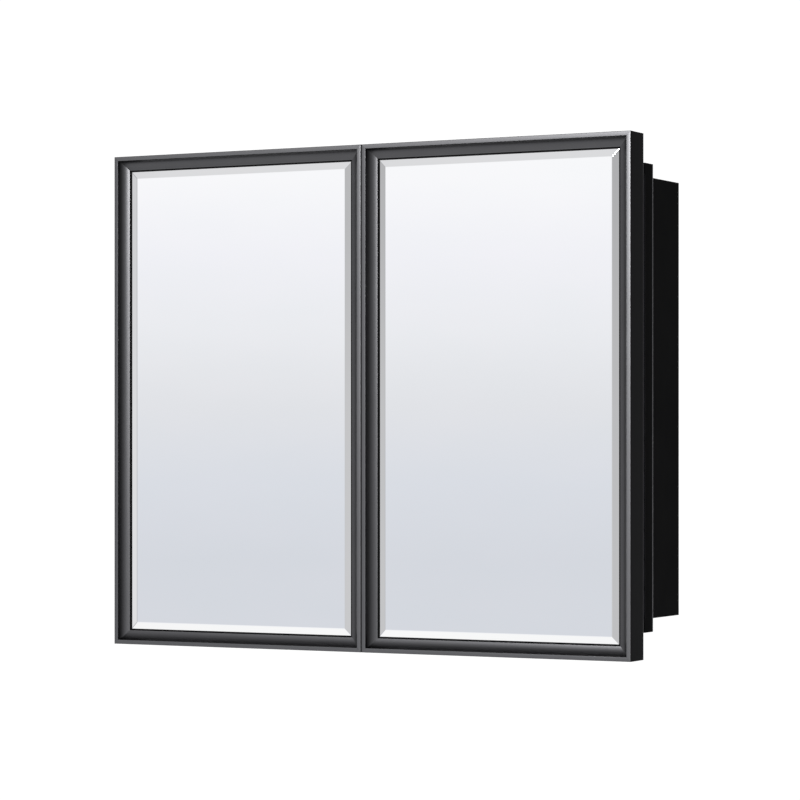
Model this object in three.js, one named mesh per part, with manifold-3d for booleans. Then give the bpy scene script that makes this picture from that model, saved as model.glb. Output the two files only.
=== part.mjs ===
// Two-door bathroom medicine cabinet with bevelled mirrors, for fixing on the face of a wall.
// Millimetres, +Z up, +X to the right; the doors face -Y and the wall is the plane y = 0.
// The origin is at the centre of the back panel's rear face.
import * as THREE from "three";
import { mergeVertices } from "three/addons/utils/BufferGeometryUtils.js";
import { ConvexGeometry } from "three/addons/geometries/ConvexGeometry.js";
import Module from "manifold-3d";

const wasm = await Module();
wasm.setup();

// ---------------------------------------------------------------- driving dimensions

const WIDTH = 762; // over both doors, 30 in
const HEIGHT = 660; // of the doors, 26 in
const DEPTH = 162; // wall to the doors' front plane
const FIT = 0.3; // gap left where two pieces touch
const SEAM = 1.2; // gap between the two doors
const DOOR_RAISE = 1.2; // the doors' centre stands this far above the case's centre
const ROUND_SIDES = 12; // facets of every round piece and hole

const DOOR_DEPTH = 43;
const HINGE_GAP = 2.6; // between the back of the doors and the face frame
const FRAME_DEPTH = 30;
const FRAME_HALF = { x: 379.5, z: 295.2 }; // outer half size of the face frame
const BODY_HALF = { x: 378, z: 278.3 }; // outer half size of the box behind it
const BOARD = 12; // thickness of the case's boards
const BACK_BOARD = 6;
const FRAME_CHAMFER = { x: 3.1, y: 2.5 }; // clears the hinge knuckles

// Door moulding: u runs inwards from the outer edge, v runs back from the front plane.
const LIP_WIDTH = 5.6;
const SIGHT = { u: 18, front: 10.1, back: 11.7 }; // the edge that the glass shows past
const COVE = { end: (65 * Math.PI) / 180, steps: 8 }; // the part of an ellipse from the lip to the sight edge
const WALL = { outer: 3, cove: 2.5 };
const LEG = { u0: 11.4, u1: 13.4, v: 18.4 }; // rib that stops the mirror's edge
const FLANGE = { width: 14, thickness: 3 };
const BACK_CHAMFER = { u: 5, v: 1.8 };
const MITRE_GAP = 0.15; // on each side of the mitre

const MIRROR = { inset: 13.7, front: 10.6, thickness: 5, bevel: 16, bevelDrop: 2 };
const BACKING = { inset: 13.7, front: 15.9, thickness: 2 };
const INNER_MIRROR = { inset: 5, front: 36.6, thickness: 3 };
const KEY = { near: 3.5, far: 10.9, arm: 48.5, front: 13, back: 30 };

const HINGE = {
  axisX: 379.8,
  length: 560,
  knuckles: 15,
  outerR: 2.2,
  boreR: 1.25,
  pinR: 1.15,
  pinOver: 1, // the pin stands out this far past the end knuckles
  leaf: 0.9,
  leafInnerX: 367.5,
  tabX: 378.2, // leaf edge inside its own knuckles
  clearX: 377.3, // leaf edge beside the other leaf's knuckles
  gap: 0.4, // between neighbouring knuckles
  tabInset: 0.5, // each tab is this much shorter than its knuckle at both ends
  seat: 0.25, // between a leaf and the face it is screwed to
};

const SHELF = { halfX: 363.9, front: 108, back: 12, thickness: 6, z: 90 };
const PIN = { r: 2.35, collarR: 4, stubR: 2.5, depth: 7.5, collar: 1.5, reach: 11, hole: 2.5, holeDepth: 9 };
const PIN_ROWS = [26, 74]; // distance of the two columns of pin holes from the wall
const PIN_PITCH = 32;

const RAIL = { bottom: 229, thickness: 12 };
const SCREW_HOLE = { r: 2.5, x: [-330, -203.2, 203.2, 330] };
const BACK_MIRROR_THICKNESS = 3;
const CATCH = {
  x: 26,
  halfWidth: 8,
  back: 88,
  top: 266,
  bottom: 251,
  shoulder: 116,
  nose: 120.6,
  tail: 5, // height lost at the back by the sloping underside
  flat: 8, // level part of the underside behind the shoulder
  step: 3, // the nose passes this far below the face frame
};
const STRIKE = { height: 14, thickness: 1.2, corner: 2 };
const BUMPER = { x: 30, z: 280, r: 5, height: 5.4, rim: 3, crown: { r: 3.5, height: 5 } };

// ---------------------------------------------------------------- derived planes

const FRONT_Y = -DEPTH;
const DOOR_BACK_Y = FRONT_Y + DOOR_DEPTH;
const FRAME_FRONT_Y = DOOR_BACK_Y + HINGE_GAP;
const FRAME_BACK_Y = FRAME_FRONT_Y + FRAME_DEPTH;
const HINGE_Y = DOOR_BACK_Y + HINGE_GAP / 2;
const INSIDE = { x: BODY_HALF.x - BOARD, z: BODY_HALF.z - BOARD };
const DOOR_HALF = { x: (WIDTH - SEAM) / 4, z: HEIGHT / 2 };
const DOOR_X = (WIDTH + SEAM) / 4; // centre of a door
const COVE_A = (SIGHT.u - LIP_WIDTH) / (1 - Math.cos(COVE.end));
const COVE_B = SIGHT.front / Math.sin(COVE.end);
const COVE_CENTRE = LIP_WIDTH + COVE_A;
const PANEL_BACK_Y = FRONT_Y + INNER_MIRROR.front + INNER_MIRROR.thickness;

// ---------------------------------------------------------------- materials

const finish = (color, roughness, metalness, extra = {}) => () =>
  new THREE.MeshStandardMaterial({ color, roughness, metalness, ...extra });

const FINISH = {
  anodised: finish(0x3a3a3e, 0.4, 0.85),
  lacquer: finish(0x141416, 0.45, 0),
  silvered: finish(0xe8ebee, 0.04, 1),
  board: finish(0x6d5a45, 0.85, 0),
  nylon: finish(0x2b2b2d, 0.6, 0),
  steel: finish(0x55565a, 0.35, 0.9),
  glass: finish(0xbfd6cf, 0.05, 0, { transparent: true, opacity: 0.4 }),
  nickel: finish(0xb9bbbd, 0.3, 1),
  rubber: finish(0x8f9092, 0.8, 0),
  plastic: finish(0x1d1d1f, 0.5, 0),
};

// ---------------------------------------------------------------- small helpers

const range = (count) => Array.from({ length: count }, (_, i) => i);

/** Axis-aligned block from its low and high limits on each axis, given in either order. */
function block([x0, x1], [y0, y1], [z0, z1]) {
  const box = new THREE.BoxGeometry(Math.abs(x1 - x0), Math.abs(y1 - y0), Math.abs(z1 - z0));
  return box.translate((x0 + x1) / 2, (y0 + y1) / 2, (z0 + z1) / 2);
}

const shapeOf = (points) => new THREE.Shape(points.map(([a, b]) => new THREE.Vector2(a, b)));

/** Prism of an outline in the X-Y plane, from z0 up to z1. */
function uprightPrism(outline, z0, z1, hole) {
  const shape = shapeOf(outline);
  if (hole) shape.holes.push(new THREE.Path(hole.map(([a, b]) => new THREE.Vector2(a, b))));
  return new THREE.ExtrudeGeometry(shape, { depth: z1 - z0, bevelEnabled: false }).translate(0, 0, z0);
}

/** Plate of an outline in the X-Z plane, from y0 back to y1. */
function platePrism(outline, y0, y1) {
  const plate = new THREE.ExtrudeGeometry(shapeOf(outline), { depth: y1 - y0, bevelEnabled: false });
  return plate.rotateX(Math.PI / 2).translate(0, y1, 0);
}

/** Regular polygon; inscribed is true when r is the distance to its flats. */
function polygon(r, sides, centre, inscribed = false) {
  const radius = inscribed ? r / Math.cos(Math.PI / sides) : r;
  return range(sides).map((i) => {
    const a = (2 * Math.PI * (i + 0.5)) / sides;
    return [centre[0] + radius * Math.cos(a), centre[1] + radius * Math.sin(a)];
  });
}

function toSolid(geometry) {
  const bare = new THREE.BufferGeometry();
  bare.setAttribute("position", geometry.getAttribute("position").clone());
  if (geometry.index) bare.setIndex(geometry.index.clone());
  const merged = mergeVertices(bare, 1e-4);
  return new wasm.Manifold(
    new wasm.Mesh({
      numProp: 3,
      vertProperties: new Float32Array(merged.getAttribute("position").array),
      triVerts: new Uint32Array(merged.index.array),
    }),
  );
}

function toGeometry(solid) {
  const { vertProperties, triVerts } = solid.getMesh();
  const geometry = new THREE.BufferGeometry();
  geometry.setAttribute("position", new THREE.BufferAttribute(new Float32Array(vertProperties), 3));
  geometry.setIndex(new THREE.BufferAttribute(new Uint32Array(triVerts), 1));
  return geometry;
}

const cut = (geometry, tools) =>
  toGeometry(tools.reduce((solid, tool) => solid.subtract(toSolid(tool)), toSolid(geometry)));

const join = (geometry, others) =>
  toGeometry(others.reduce((solid, other) => solid.add(toSolid(other)), toSolid(geometry)));

/** Drill along Y at (x, z), through everything between y0 and y1. */
function drillY(r, x, z, y0, y1) {
  const drill = new THREE.CylinderGeometry(r, r, Math.abs(y1 - y0), ROUND_SIDES);
  return drill.translate(x, (y0 + y1) / 2, z);
}

/** Drill along X at (y, z) between x0 and x1. */
function drillX(r, y, z, x0, x1) {
  const drill = new THREE.CylinderGeometry(r, r, Math.abs(x1 - x0), ROUND_SIDES).rotateZ(Math.PI / 2);
  return drill.translate((x0 + x1) / 2, y, z);
}

const cabinet = new THREE.Group();

function piece(name, geometry, material, parent = cabinet) {
  geometry.computeVertexNormals();
  const mesh = new THREE.Mesh(geometry, material());
  mesh.name = name;
  parent.add(mesh);
  return mesh;
}

// ---------------------------------------------------------------- door mouldings

/** Concave arc of an ellipse: leaves the lip straight back and turns nearly to the front. */
function coveArc(offset, from, to) {
  const a = COVE_A + offset;
  const b = COVE_B + offset;
  return range(COVE.steps + 1).map((i) => {
    const t = from + ((to - from) * i) / COVE.steps;
    return [COVE_CENTRE - a * Math.cos(t), b * Math.sin(t)];
  });
}

/** Hollow section of the moulding, open towards the inside of the door. */
function mouldingSection() {
  const legAngle = Math.acos((COVE_CENTRE - LEG.u0) / (COVE_A + WALL.cove));
  const lipAngle = Math.asin(WALL.cove / (COVE_B + WALL.cove));
  return [
    [0, 0],
    ...coveArc(0, 0, COVE.end),
    [SIGHT.u, SIGHT.back],
    [LEG.u1, SIGHT.back],
    [LEG.u1, LEG.v],
    [LEG.u0, LEG.v],
    ...coveArc(WALL.cove, legAngle, lipAngle),
    [WALL.outer, WALL.cove],
    [WALL.outer, DOOR_DEPTH - FLANGE.thickness],
    [FLANGE.width, DOOR_DEPTH - FLANGE.thickness],
    [FLANGE.width, DOOR_DEPTH],
    [BACK_CHAMFER.u, DOOR_DEPTH],
    [0, DOOR_DEPTH - BACK_CHAMFER.v],
  ];
}

/** One length of moulding along +Z with both ends mitred; x is u and y is v. */
function mitredMoulding(length) {
  const bar = uprightPrism(mouldingSection(), 0, 1);
  const at = bar.getAttribute("position");
  for (const i of range(at.count)) {
    const u = at.getX(i);
    at.setZ(i, at.getZ(i) < 0.5 ? u + MITRE_GAP : length - u - MITRE_GAP);
  }
  return bar;
}

/** The door's corners in turn, with the quarter turn that carries the left moulding there. */
const CORNERS = [
  { edge: "left", corner: "lower_left", turn: 0, x: -1, z: -1 },
  { edge: "top", corner: "upper_left", turn: 1, x: -1, z: 1 },
  { edge: "right", corner: "upper_right", turn: 2, x: 1, z: 1 },
  { edge: "bottom", corner: "lower_right", turn: 3, x: 1, z: -1 },
];

function cornerKey() {
  const { near, far, arm, front, back } = KEY;
  const outline = [[near, near], [arm, near], [arm, far], [far, far], [far, arm], [near, arm]];
  return platePrism(outline, front, back);
}

function bevelledMirror() {
  const x = DOOR_HALF.x - MIRROR.inset;
  const z = DOOR_HALF.z - MIRROR.inset;
  const layers = [
    [MIRROR.bevel, MIRROR.front],
    [0, MIRROR.front + MIRROR.bevelDrop],
    [0, MIRROR.front + MIRROR.thickness],
  ];
  const points = layers.flatMap(([inset, v]) =>
    [-1, 1].flatMap((i) => [-1, 1].map((k) => new THREE.Vector3(i * (x - inset), v, k * (z - inset)))),
  );
  return new ConvexGeometry(points);
}

/** Flat sheet inside the door, from its inset at the edges and its distance behind the front plane. */
function doorSheet({ inset, front, thickness }) {
  const x = DOOR_HALF.x - inset;
  const z = DOOR_HALF.z - inset;
  return block([-x, x], [front, front + thickness], [-z, z]);
}

// ---------------------------------------------------------------- hinges

/** Low and high z of knuckle number i, counted from the bottom. */
function knuckleSpan(i) {
  const pitch = HINGE.length / HINGE.knuckles;
  const low = -HINGE.length / 2 + i * pitch;
  return [low + HINGE.gap / 2, low + pitch - HINGE.gap / 2];
}

/** One leaf of a continuous hinge: a comb-edged strip with a rolled knuckle on each tab. */
function hingeLeaf(side, y0, y1, owns) {
  const half = HINGE.length / 2 - HINGE.gap / 2;
  const edge = range(HINGE.knuckles)
    .filter(owns)
    .flatMap((i) => {
      const [low, high] = knuckleSpan(i);
      const a = low + HINGE.tabInset;
      const b = high - HINGE.tabInset;
      return [[HINGE.clearX, a], [HINGE.tabX, a], [HINGE.tabX, b], [HINGE.clearX, b]];
    });
  const strip = [
    [HINGE.leafInnerX, -half],
    [HINGE.clearX, -half],
    ...edge,
    [HINGE.clearX, half],
    [HINGE.leafInnerX, half],
  ];
  const centre = [side * HINGE.axisX, HINGE_Y];
  const outer = polygon(HINGE.outerR, ROUND_SIDES, centre);
  const bore = polygon(HINGE.boreR, ROUND_SIDES, centre, true);
  const rings = range(HINGE.knuckles)
    .filter(owns)
    .map((i) => uprightPrism(outer, ...knuckleSpan(i), bore));
  return join(platePrism(strip.map(([x, z]) => [side * x, z]), y0, y1), rings);
}

function hingePin(side) {
  const half = HINGE.length / 2 + HINGE.pinOver;
  return uprightPrism(polygon(HINGE.pinR, ROUND_SIDES, [side * HINGE.axisX, HINGE_Y]), -half, half);
}

// ---------------------------------------------------------------- small fittings

/** Strike plate with clipped corners, stuck to the back of the inner mirror. */
function strikePlate(side) {
  const w = CATCH.halfWidth;
  const h = STRIKE.height / 2;
  const c = STRIKE.corner;
  const z = (CATCH.bottom + CATCH.top) / 2;
  const outline = [
    [w - c, -h], [w, -h + c], [w, h - c], [w - c, h], [-w + c, h], [-w, h - c], [-w, -h + c], [-w + c, -h],
  ];
  const y0 = PANEL_BACK_Y + FIT;
  return platePrism(outline.map(([x, dz]) => [side * CATCH.x + x, z + dz]), y0, y0 + STRIKE.thickness);
}

/** Magnetic catch: a sloping housing under the top panel with its magnet's nose at the front. */
function magnetCatch(side) {
  const { back, top, bottom, shoulder, nose, halfWidth, tail, flat, step } = CATCH;
  const outline = [
    [-back, top], [-back, bottom + tail], [-shoulder + flat, bottom], [-nose, bottom],
    [-nose, top - step], [-shoulder, top - step], [-shoulder, top],
  ];
  const housing = new THREE.ExtrudeGeometry(shapeOf(outline), { depth: 2 * halfWidth, bevelEnabled: false });
  // The outline's plane X-Y becomes Y-Z, and the extrusion runs along X.
  housing.rotateX(Math.PI / 2).rotateZ(Math.PI / 2);
  return housing.translate(side * CATCH.x - halfWidth, 0, 0);
}

/** Rubber dome that softens the door's closing against the face frame. */
function bumper(x, z) {
  const { r, height, rim, crown } = BUMPER;
  const profile = [[0, 0], [r, 0], [r, rim], [crown.r, crown.height], [0, height]];
  const dome = new THREE.LatheGeometry(profile.map(([a, b]) => new THREE.Vector2(a, b)), ROUND_SIDES);
  return dome.translate(x, PANEL_BACK_Y + FIT, z);
}

/** Shelf pin on the +X side, turned about X: peg in the hole, collar, stub under the glass. */
function shelfPin() {
  const { r, collarR, stubR, depth, collar, reach } = PIN;
  const profile = [
    [0, -depth], [r, -depth], [r, FIT], [collarR, FIT], [collarR, FIT + collar], [stubR, FIT + collar],
    [stubR, reach], [0, reach],
  ];
  return new THREE.LatheGeometry(profile.map(([a, b]) => new THREE.Vector2(a, b)), ROUND_SIDES);
}

// ---------------------------------------------------------------- doors

for (const [doorName, side] of [["left_door", -1], ["right_door", 1]]) {
  const door = new THREE.Group();
  door.position.set(side * DOOR_X, FRONT_Y, DOOR_RAISE);
  cabinet.add(door);

  for (const { edge, corner, turn, x, z } of CORNERS) {
    const length = 2 * (turn % 2 ? DOOR_HALF.x : DOOR_HALF.z);
    const bar = piece(`${doorName}_${edge}_moulding`, mitredMoulding(length), FINISH.anodised, door);
    const key = piece(`${doorName}_${corner}_corner_key`, cornerKey(), FINISH.nylon, door);
    for (const mesh of [bar, key]) {
      mesh.position.set(x * DOOR_HALF.x, 0, z * DOOR_HALF.z);
      mesh.rotation.y = (turn * Math.PI) / 2;
    }
  }
  piece(`${doorName}_bevelled_mirror`, bevelledMirror(), FINISH.silvered, door);
  piece(`${doorName}_backing_board`, doorSheet(BACKING), FINISH.board, door);
  piece(`${doorName}_inner_mirror`, doorSheet(INNER_MIRROR), FINISH.silvered, door);

  const leafY = DOOR_BACK_Y + HINGE.seat;
  const leaf = hingeLeaf(side, leafY, leafY + HINGE.leaf, (i) => i % 2 === 1);
  piece(`${doorName}_hinge_leaf`, leaf, FINISH.steel);
  piece(`${doorName}_strike_plate`, strikePlate(side), FINISH.nickel);
  for (const [place, sign] of [["upper", 1], ["lower", -1]]) {
    piece(`${doorName}_${place}_bumper`, bumper(side * BUMPER.x, sign * BUMPER.z), FINISH.rubber);
  }
}

// ---------------------------------------------------------------- case: boards

const innerX = INSIDE.x - FIT;
const innerZ = INSIDE.z - FIT;
const boardY = [FRAME_BACK_Y + FIT, 0];
const shelfDrop = SHELF.thickness / 2 + FIT + PIN.stubR; // shelf centre to pin centre
const screwZ = (RAIL.bottom + innerZ) / 2;

const wallScrewHoles = (y0, y1) => SCREW_HOLE.x.map((x) => drillY(SCREW_HOLE.r, x, screwZ, y0, y1));

const backPanel = block([-innerX, innerX], [-BACK_BOARD, 0], [-innerZ, innerZ]);
piece("back_panel", cut(backPanel, wallScrewHoles(-BACK_BOARD - 1, 1)), FINISH.lacquer);

const railFront = -BACK_BOARD - FIT - RAIL.thickness;
const rail = block([-innerX, innerX], [railFront, -BACK_BOARD - FIT], [RAIL.bottom, innerZ]);
piece("hanging_rail", cut(rail, wallScrewHoles(railFront - 1, 0)), FINISH.lacquer);

const backMirrorY = -BACK_BOARD - FIT;
piece(
  "back_mirror",
  block([-innerX, innerX], [backMirrorY - BACK_MIRROR_THICKNESS, backMirrorY], [-innerZ, RAIL.bottom - FIT]),
  FINISH.silvered,
);

/** Centres of the pin holes: three heights for each shelf in each column. */
const pinHoles = [1, -1].flatMap((sign) =>
  [-1, 0, 1].flatMap((step) =>
    PIN_ROWS.map((y) => [-y, sign * SHELF.z - shelfDrop + step * PIN_PITCH]),
  ),
);

for (const [name, side] of [["left", -1], ["right", 1]]) {
  const panel = block([side * INSIDE.x, side * BODY_HALF.x], boardY, [-BODY_HALF.z, BODY_HALF.z]);
  const drills = pinHoles.map(([y, z]) =>
    drillX(PIN.hole, y, z, side * (INSIDE.x - 1), side * (INSIDE.x + PIN.holeDepth)),
  );
  piece(`${name}_side_panel`, cut(panel, drills), FINISH.lacquer);
}

for (const [name, sign] of [["top", 1], ["bottom", -1]]) {
  const panel = block([-innerX, innerX], boardY, [sign * INSIDE.z, sign * BODY_HALF.z]);
  piece(`${name}_panel`, panel, FINISH.lacquer);
}

// ---------------------------------------------------------------- case: face frame

for (const [name, sign] of [["top", 1], ["bottom", -1]]) {
  const bar = block([-innerX, innerX], [FRAME_FRONT_Y, FRAME_BACK_Y], [sign * INSIDE.z, sign * FRAME_HALF.z]);
  piece(`face_frame_${name}_rail`, bar, FINISH.lacquer);
}

for (const [name, side] of [["left", -1], ["right", 1]]) {
  const outline = [
    [INSIDE.x, FRAME_FRONT_Y],
    [FRAME_HALF.x - FRAME_CHAMFER.x, FRAME_FRONT_Y],
    [FRAME_HALF.x, FRAME_FRONT_Y + FRAME_CHAMFER.y],
    [FRAME_HALF.x, FRAME_BACK_Y],
    [INSIDE.x, FRAME_BACK_Y],
  ];
  const stile = uprightPrism(outline.map(([x, y]) => [side * x, y]), -FRAME_HALF.z, FRAME_HALF.z);
  piece(`face_frame_${name}_stile`, stile, FINISH.lacquer);
}

// ---------------------------------------------------------------- case: shelves and fittings

for (const [name, sign] of [["upper", 1], ["lower", -1]]) {
  const z = sign * SHELF.z;
  const sheet = block(
    [-SHELF.halfX, SHELF.halfX],
    [-SHELF.front, -SHELF.back],
    [z - SHELF.thickness / 2, z + SHELF.thickness / 2],
  );
  piece(`${name}_shelf`, sheet, FINISH.glass);

  for (const [sideName, side] of [["left", -1], ["right", 1]]) {
    for (const [rowName, row] of [["back", 0], ["front", 1]]) {
      const pin = piece(`${name}_shelf_${sideName}_${rowName}_pin`, shelfPin(), FINISH.nickel);
      pin.position.set(side * INSIDE.x, -PIN_ROWS[row], z - shelfDrop);
      pin.rotation.z = (side * Math.PI) / 2;
    }
  }
}

for (const [name, side] of [["left", -1], ["right", 1]]) {
  const leafY = FRAME_FRONT_Y - HINGE.seat;
  const leaf = hingeLeaf(side, leafY - HINGE.leaf, leafY, (i) => i % 2 === 0);
  piece(`case_${name}_hinge_leaf`, leaf, FINISH.steel);
  piece(`${name}_hinge_pin`, hingePin(side), FINISH.steel);
  piece(`${name}_magnet_catch`, magnetCatch(side), FINISH.plastic);
}

export default cabinet;
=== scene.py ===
"""Two-door bathroom medicine cabinet with bevelled mirrors: its looks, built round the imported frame."""

import logging
import math
from dataclasses import dataclass
from enum import Enum
from typing import Any, Sequence

import bmesh
import bpy
from mathutils import Matrix, Vector


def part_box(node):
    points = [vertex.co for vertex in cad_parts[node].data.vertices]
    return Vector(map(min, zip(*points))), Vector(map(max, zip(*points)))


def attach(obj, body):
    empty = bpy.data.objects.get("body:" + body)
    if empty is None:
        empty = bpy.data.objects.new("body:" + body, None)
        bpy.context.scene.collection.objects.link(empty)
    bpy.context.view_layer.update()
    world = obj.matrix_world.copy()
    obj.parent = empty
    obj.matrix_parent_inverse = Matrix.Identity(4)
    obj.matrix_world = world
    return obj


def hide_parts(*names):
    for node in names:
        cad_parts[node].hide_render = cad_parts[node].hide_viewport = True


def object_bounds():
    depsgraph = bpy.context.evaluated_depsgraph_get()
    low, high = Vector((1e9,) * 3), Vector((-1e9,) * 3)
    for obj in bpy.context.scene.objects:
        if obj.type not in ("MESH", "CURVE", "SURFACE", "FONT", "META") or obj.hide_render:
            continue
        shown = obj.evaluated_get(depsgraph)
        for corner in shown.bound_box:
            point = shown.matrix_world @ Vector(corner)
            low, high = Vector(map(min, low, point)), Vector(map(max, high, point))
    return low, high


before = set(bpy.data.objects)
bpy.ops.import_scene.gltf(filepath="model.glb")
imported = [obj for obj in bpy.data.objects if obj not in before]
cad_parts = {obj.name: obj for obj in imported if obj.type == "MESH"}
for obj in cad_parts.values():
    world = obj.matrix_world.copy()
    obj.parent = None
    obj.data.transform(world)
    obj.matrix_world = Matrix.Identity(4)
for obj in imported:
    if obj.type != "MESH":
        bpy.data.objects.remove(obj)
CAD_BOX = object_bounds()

MM = 0.001
WEAR_AND_HIGHLIGHT = "edge_wear_and_highlight"  # point attribute that finishes read: 0 on a flat, more where the skin is thin or rubbed, and high on rear outer edges as a painted highlight
PROFILE_UV = "profile"  # UV map in metres: round the section, and along the length
ARRIS_END = 0.4  # how far the ends of a rounding count as arris
ARRIS_SHARE = 0.45  # the most of a side that one rounding takes
log = logging.getLogger("cabinet")

Point2 = tuple[float, float]
Colour = tuple[float, float, float, float]
Tint = Colour | bpy.types.NodeSocket


# ---------------------------------------------------------------- colour and nodes


def srgb(code: str, alpha: float = 1.0) -> Colour:
    """Turn an sRGB hex code into linear light.

    Args:
        code: six hex digits, with or without a leading hash.
        alpha: the fourth channel.

    Returns:
        Linear red, green, blue and alpha.
    """
    digits = code.lstrip("#")
    values = [int(digits[i : i + 2], 16) / 255 for i in (0, 2, 4)]
    linear = [v / 12.92 if v <= 0.04045 else ((v + 0.055) / 1.055) ** 2.4 for v in values]
    return linear[0], linear[1], linear[2], alpha


def add_node(
    tree: bpy.types.NodeTree,
    kind: str,
    settings: dict[str, Any] | None = None,
    inputs: dict[str | int, Any] | None = None,
) -> bpy.types.Node:
    """Add a node with its settings and its inputs.

    Args:
        tree: the tree that gets the node.
        kind: the node's type name.
        settings: properties of the node itself.
        inputs: a value or a socket to link, by input name or number.

    Returns:
        The new node.
    """
    node = tree.nodes.new(kind)
    for name, value in (settings or {}).items():
        setattr(node, name, value)
    for key, value in (inputs or {}).items():
        if isinstance(value, bpy.types.NodeSocket):
            tree.links.new(value, node.inputs[key])
        else:
            node.inputs[key].default_value = value
    return node


def set_ramp(ramp: bpy.types.ColorRamp, stops: Sequence[tuple[float, Colour]]) -> None:
    """Fill a colour ramp.

    Args:
        ramp: the ramp to fill.
        stops: position from 0 to 1 and colour, in order, at least two.
    """
    while len(ramp.elements) > 2:
        ramp.elements.remove(ramp.elements[-1])
    for element, (place, colour) in zip(ramp.elements, (stops[0], stops[-1])):
        element.position = place
        element.color = colour
    for place, colour in stops[1:-1]:
        ramp.elements.new(place).color = colour


# ---------------------------------------------------------------- finishes


@dataclass(frozen=True)
class Finish:
    """A surface finish: one procedural material, made once and shared.

    Subclasses say in skin() what the real process gives the eye.
    """

    label: str
    slot: str

    def material(self) -> bpy.types.Material:
        """Find the finish's material, or make it the first time.

        Returns:
            The material.
        """
        found = bpy.data.materials.get(self.label)
        if found:
            return found
        made = bpy.data.materials.new(self.label)
        made.use_nodes = True
        tree = made.node_tree
        tree.nodes.clear()
        place = add_node(tree, "ShaderNodeTexCoord").outputs["Object"]
        shader = add_node(tree, "ShaderNodeBsdfPrincipled", inputs=self.skin(tree, place))
        add_node(tree, "ShaderNodeOutputMaterial", inputs={"Surface": shader.outputs["BSDF"]})
        return made

    def skin(self, tree: bpy.types.NodeTree, place: bpy.types.NodeSocket) -> dict[str, Any]:
        """Make the finish's pattern; each finish has its own way.

        Args:
            tree: the material's tree.
            place: the place on the piece, in metres.

        Returns:
            A socket or a value for each input of the shader that the finish sets.
        """
        raise NotImplementedError

    def mottle(
        self, tree: bpy.types.NodeTree, vector: Any, grain_mm: Sequence[float], detail: float = 3.0
    ) -> bpy.types.NodeSocket:
        """Add a noise pattern of a real grain size.

        Args:
            tree: the material's tree.
            vector: the coordinate socket, in metres.
            grain_mm: size of a grain along the three coordinate axes, in millimetres.
            detail: octaves of finer noise.

        Returns:
            A factor around 0.5.
        """
        scaled = add_node(
            tree,
            "ShaderNodeMapping",
            {"vector_type": "POINT"},
            {"Vector": vector, "Scale": tuple(1 / (g * MM) for g in grain_mm)},
        )
        noise = add_node(
            tree,
            "ShaderNodeTexNoise",
            {"noise_dimensions": "3D"},
            {"Vector": scaled.outputs["Vector"], "Scale": 1.0, "Detail": detail, "Roughness": 0.55},
        )
        return noise.outputs["Fac"]

    def spread(
        self, tree: bpy.types.NodeTree, factor: bpy.types.NodeSocket, low: float, high: float
    ) -> bpy.types.NodeSocket:
        """Map a noise factor's useful range, 0.25 to 0.75, onto another.

        Args:
            tree: the material's tree.
            factor: the noise factor.
            low: what 0.25 becomes.
            high: what 0.75 becomes.

        Returns:
            The new factor.
        """
        node = add_node(
            tree,
            "ShaderNodeMapRange",
            {},
            {"Value": factor, "From Min": 0.25, "From Max": 0.75, "To Min": low, "To Max": high},
        )
        return node.outputs["Result"]

    def between(
        self, tree: bpy.types.NodeTree, factor: bpy.types.NodeSocket, first: Tint, second: Tint
    ) -> bpy.types.NodeSocket:
        """Mix two colours by a factor and return the colour socket."""
        node = add_node(tree, "ShaderNodeMix", {"data_type": "RGBA"}, {0: factor, 6: first, 7: second})
        return node.outputs[2]

    def two_tone(
        self, tree: bpy.types.NodeTree, factor: bpy.types.NodeSocket, first: str, second: str
    ) -> bpy.types.NodeSocket:
        """Let a noise factor stir two colours, given as sRGB codes."""
        return self.between(tree, self.spread(tree, factor, 0.0, 1.0), srgb(first), srgb(second))

    def stirred(
        self,
        tree: bpy.types.NodeTree,
        factor: bpy.types.NodeSocket,
        colours: tuple[str, str],
        roughness: Point2,
        relief_mm: float = 0.0,
    ) -> dict[str, Any]:
        """Let one noise factor stir colour, roughness and, where it has a depth, relief.

        Args:
            tree: the material's tree.
            factor: the noise factor.
            colours: two sRGB codes.
            roughness: lowest and highest.
            relief_mm: real depth of the relief.

        Returns:
            The shader's inputs.
        """
        inputs = {
            "Base Color": self.two_tone(tree, factor, *colours),
            "Roughness": self.spread(tree, factor, *roughness),
        }
        if relief_mm:
            inputs["Normal"] = self.relief(tree, factor, relief_mm)
        return inputs

    def paled_by_wear_and_highlight(
        self,
        tree: bpy.types.NodeTree,
        skin: bpy.types.NodeSocket,
        worn_and_lit: str,
        strength: bpy.types.NodeSocket | None = None,
    ) -> bpy.types.NodeSocket:
        """Show a paler colour through the skin where the piece's wear attribute says so: on worn arrises,
        and as a painted highlight on rear outer edges.

        Args:
            tree: the material's tree.
            skin: colour of the sound skin.
            worn_and_lit: sRGB code of the rubbed skin, also used as the painted highlight colour.
            strength: a factor that breaks the wear up, where it has one.

        Returns:
            The colour socket.
        """
        wear = add_node(tree, "ShaderNodeAttribute", {"attribute_name": WEAR_AND_HIGHLIGHT}).outputs["Fac"]
        if strength:
            both = {0: wear, 1: strength}
            wear = add_node(tree, "ShaderNodeMath", {"operation": "MULTIPLY"}, both).outputs[0]
        return self.between(tree, wear, skin, srgb(worn_and_lit))

    def relief(
        self, tree: bpy.types.NodeTree, height: bpy.types.NodeSocket, depth_mm: float
    ) -> bpy.types.NodeSocket:
        """Turn a height factor into a normal.

        Args:
            tree: the material's tree.
            height: the height factor.
            depth_mm: the real depth that a factor of 1 stands for.

        Returns:
            The normal socket.
        """
        node = add_node(
            tree, "ShaderNodeBump", {}, {"Height": height, "Distance": depth_mm * MM, "Strength": 1.0}
        )
        return node.outputs["Normal"]


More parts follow.
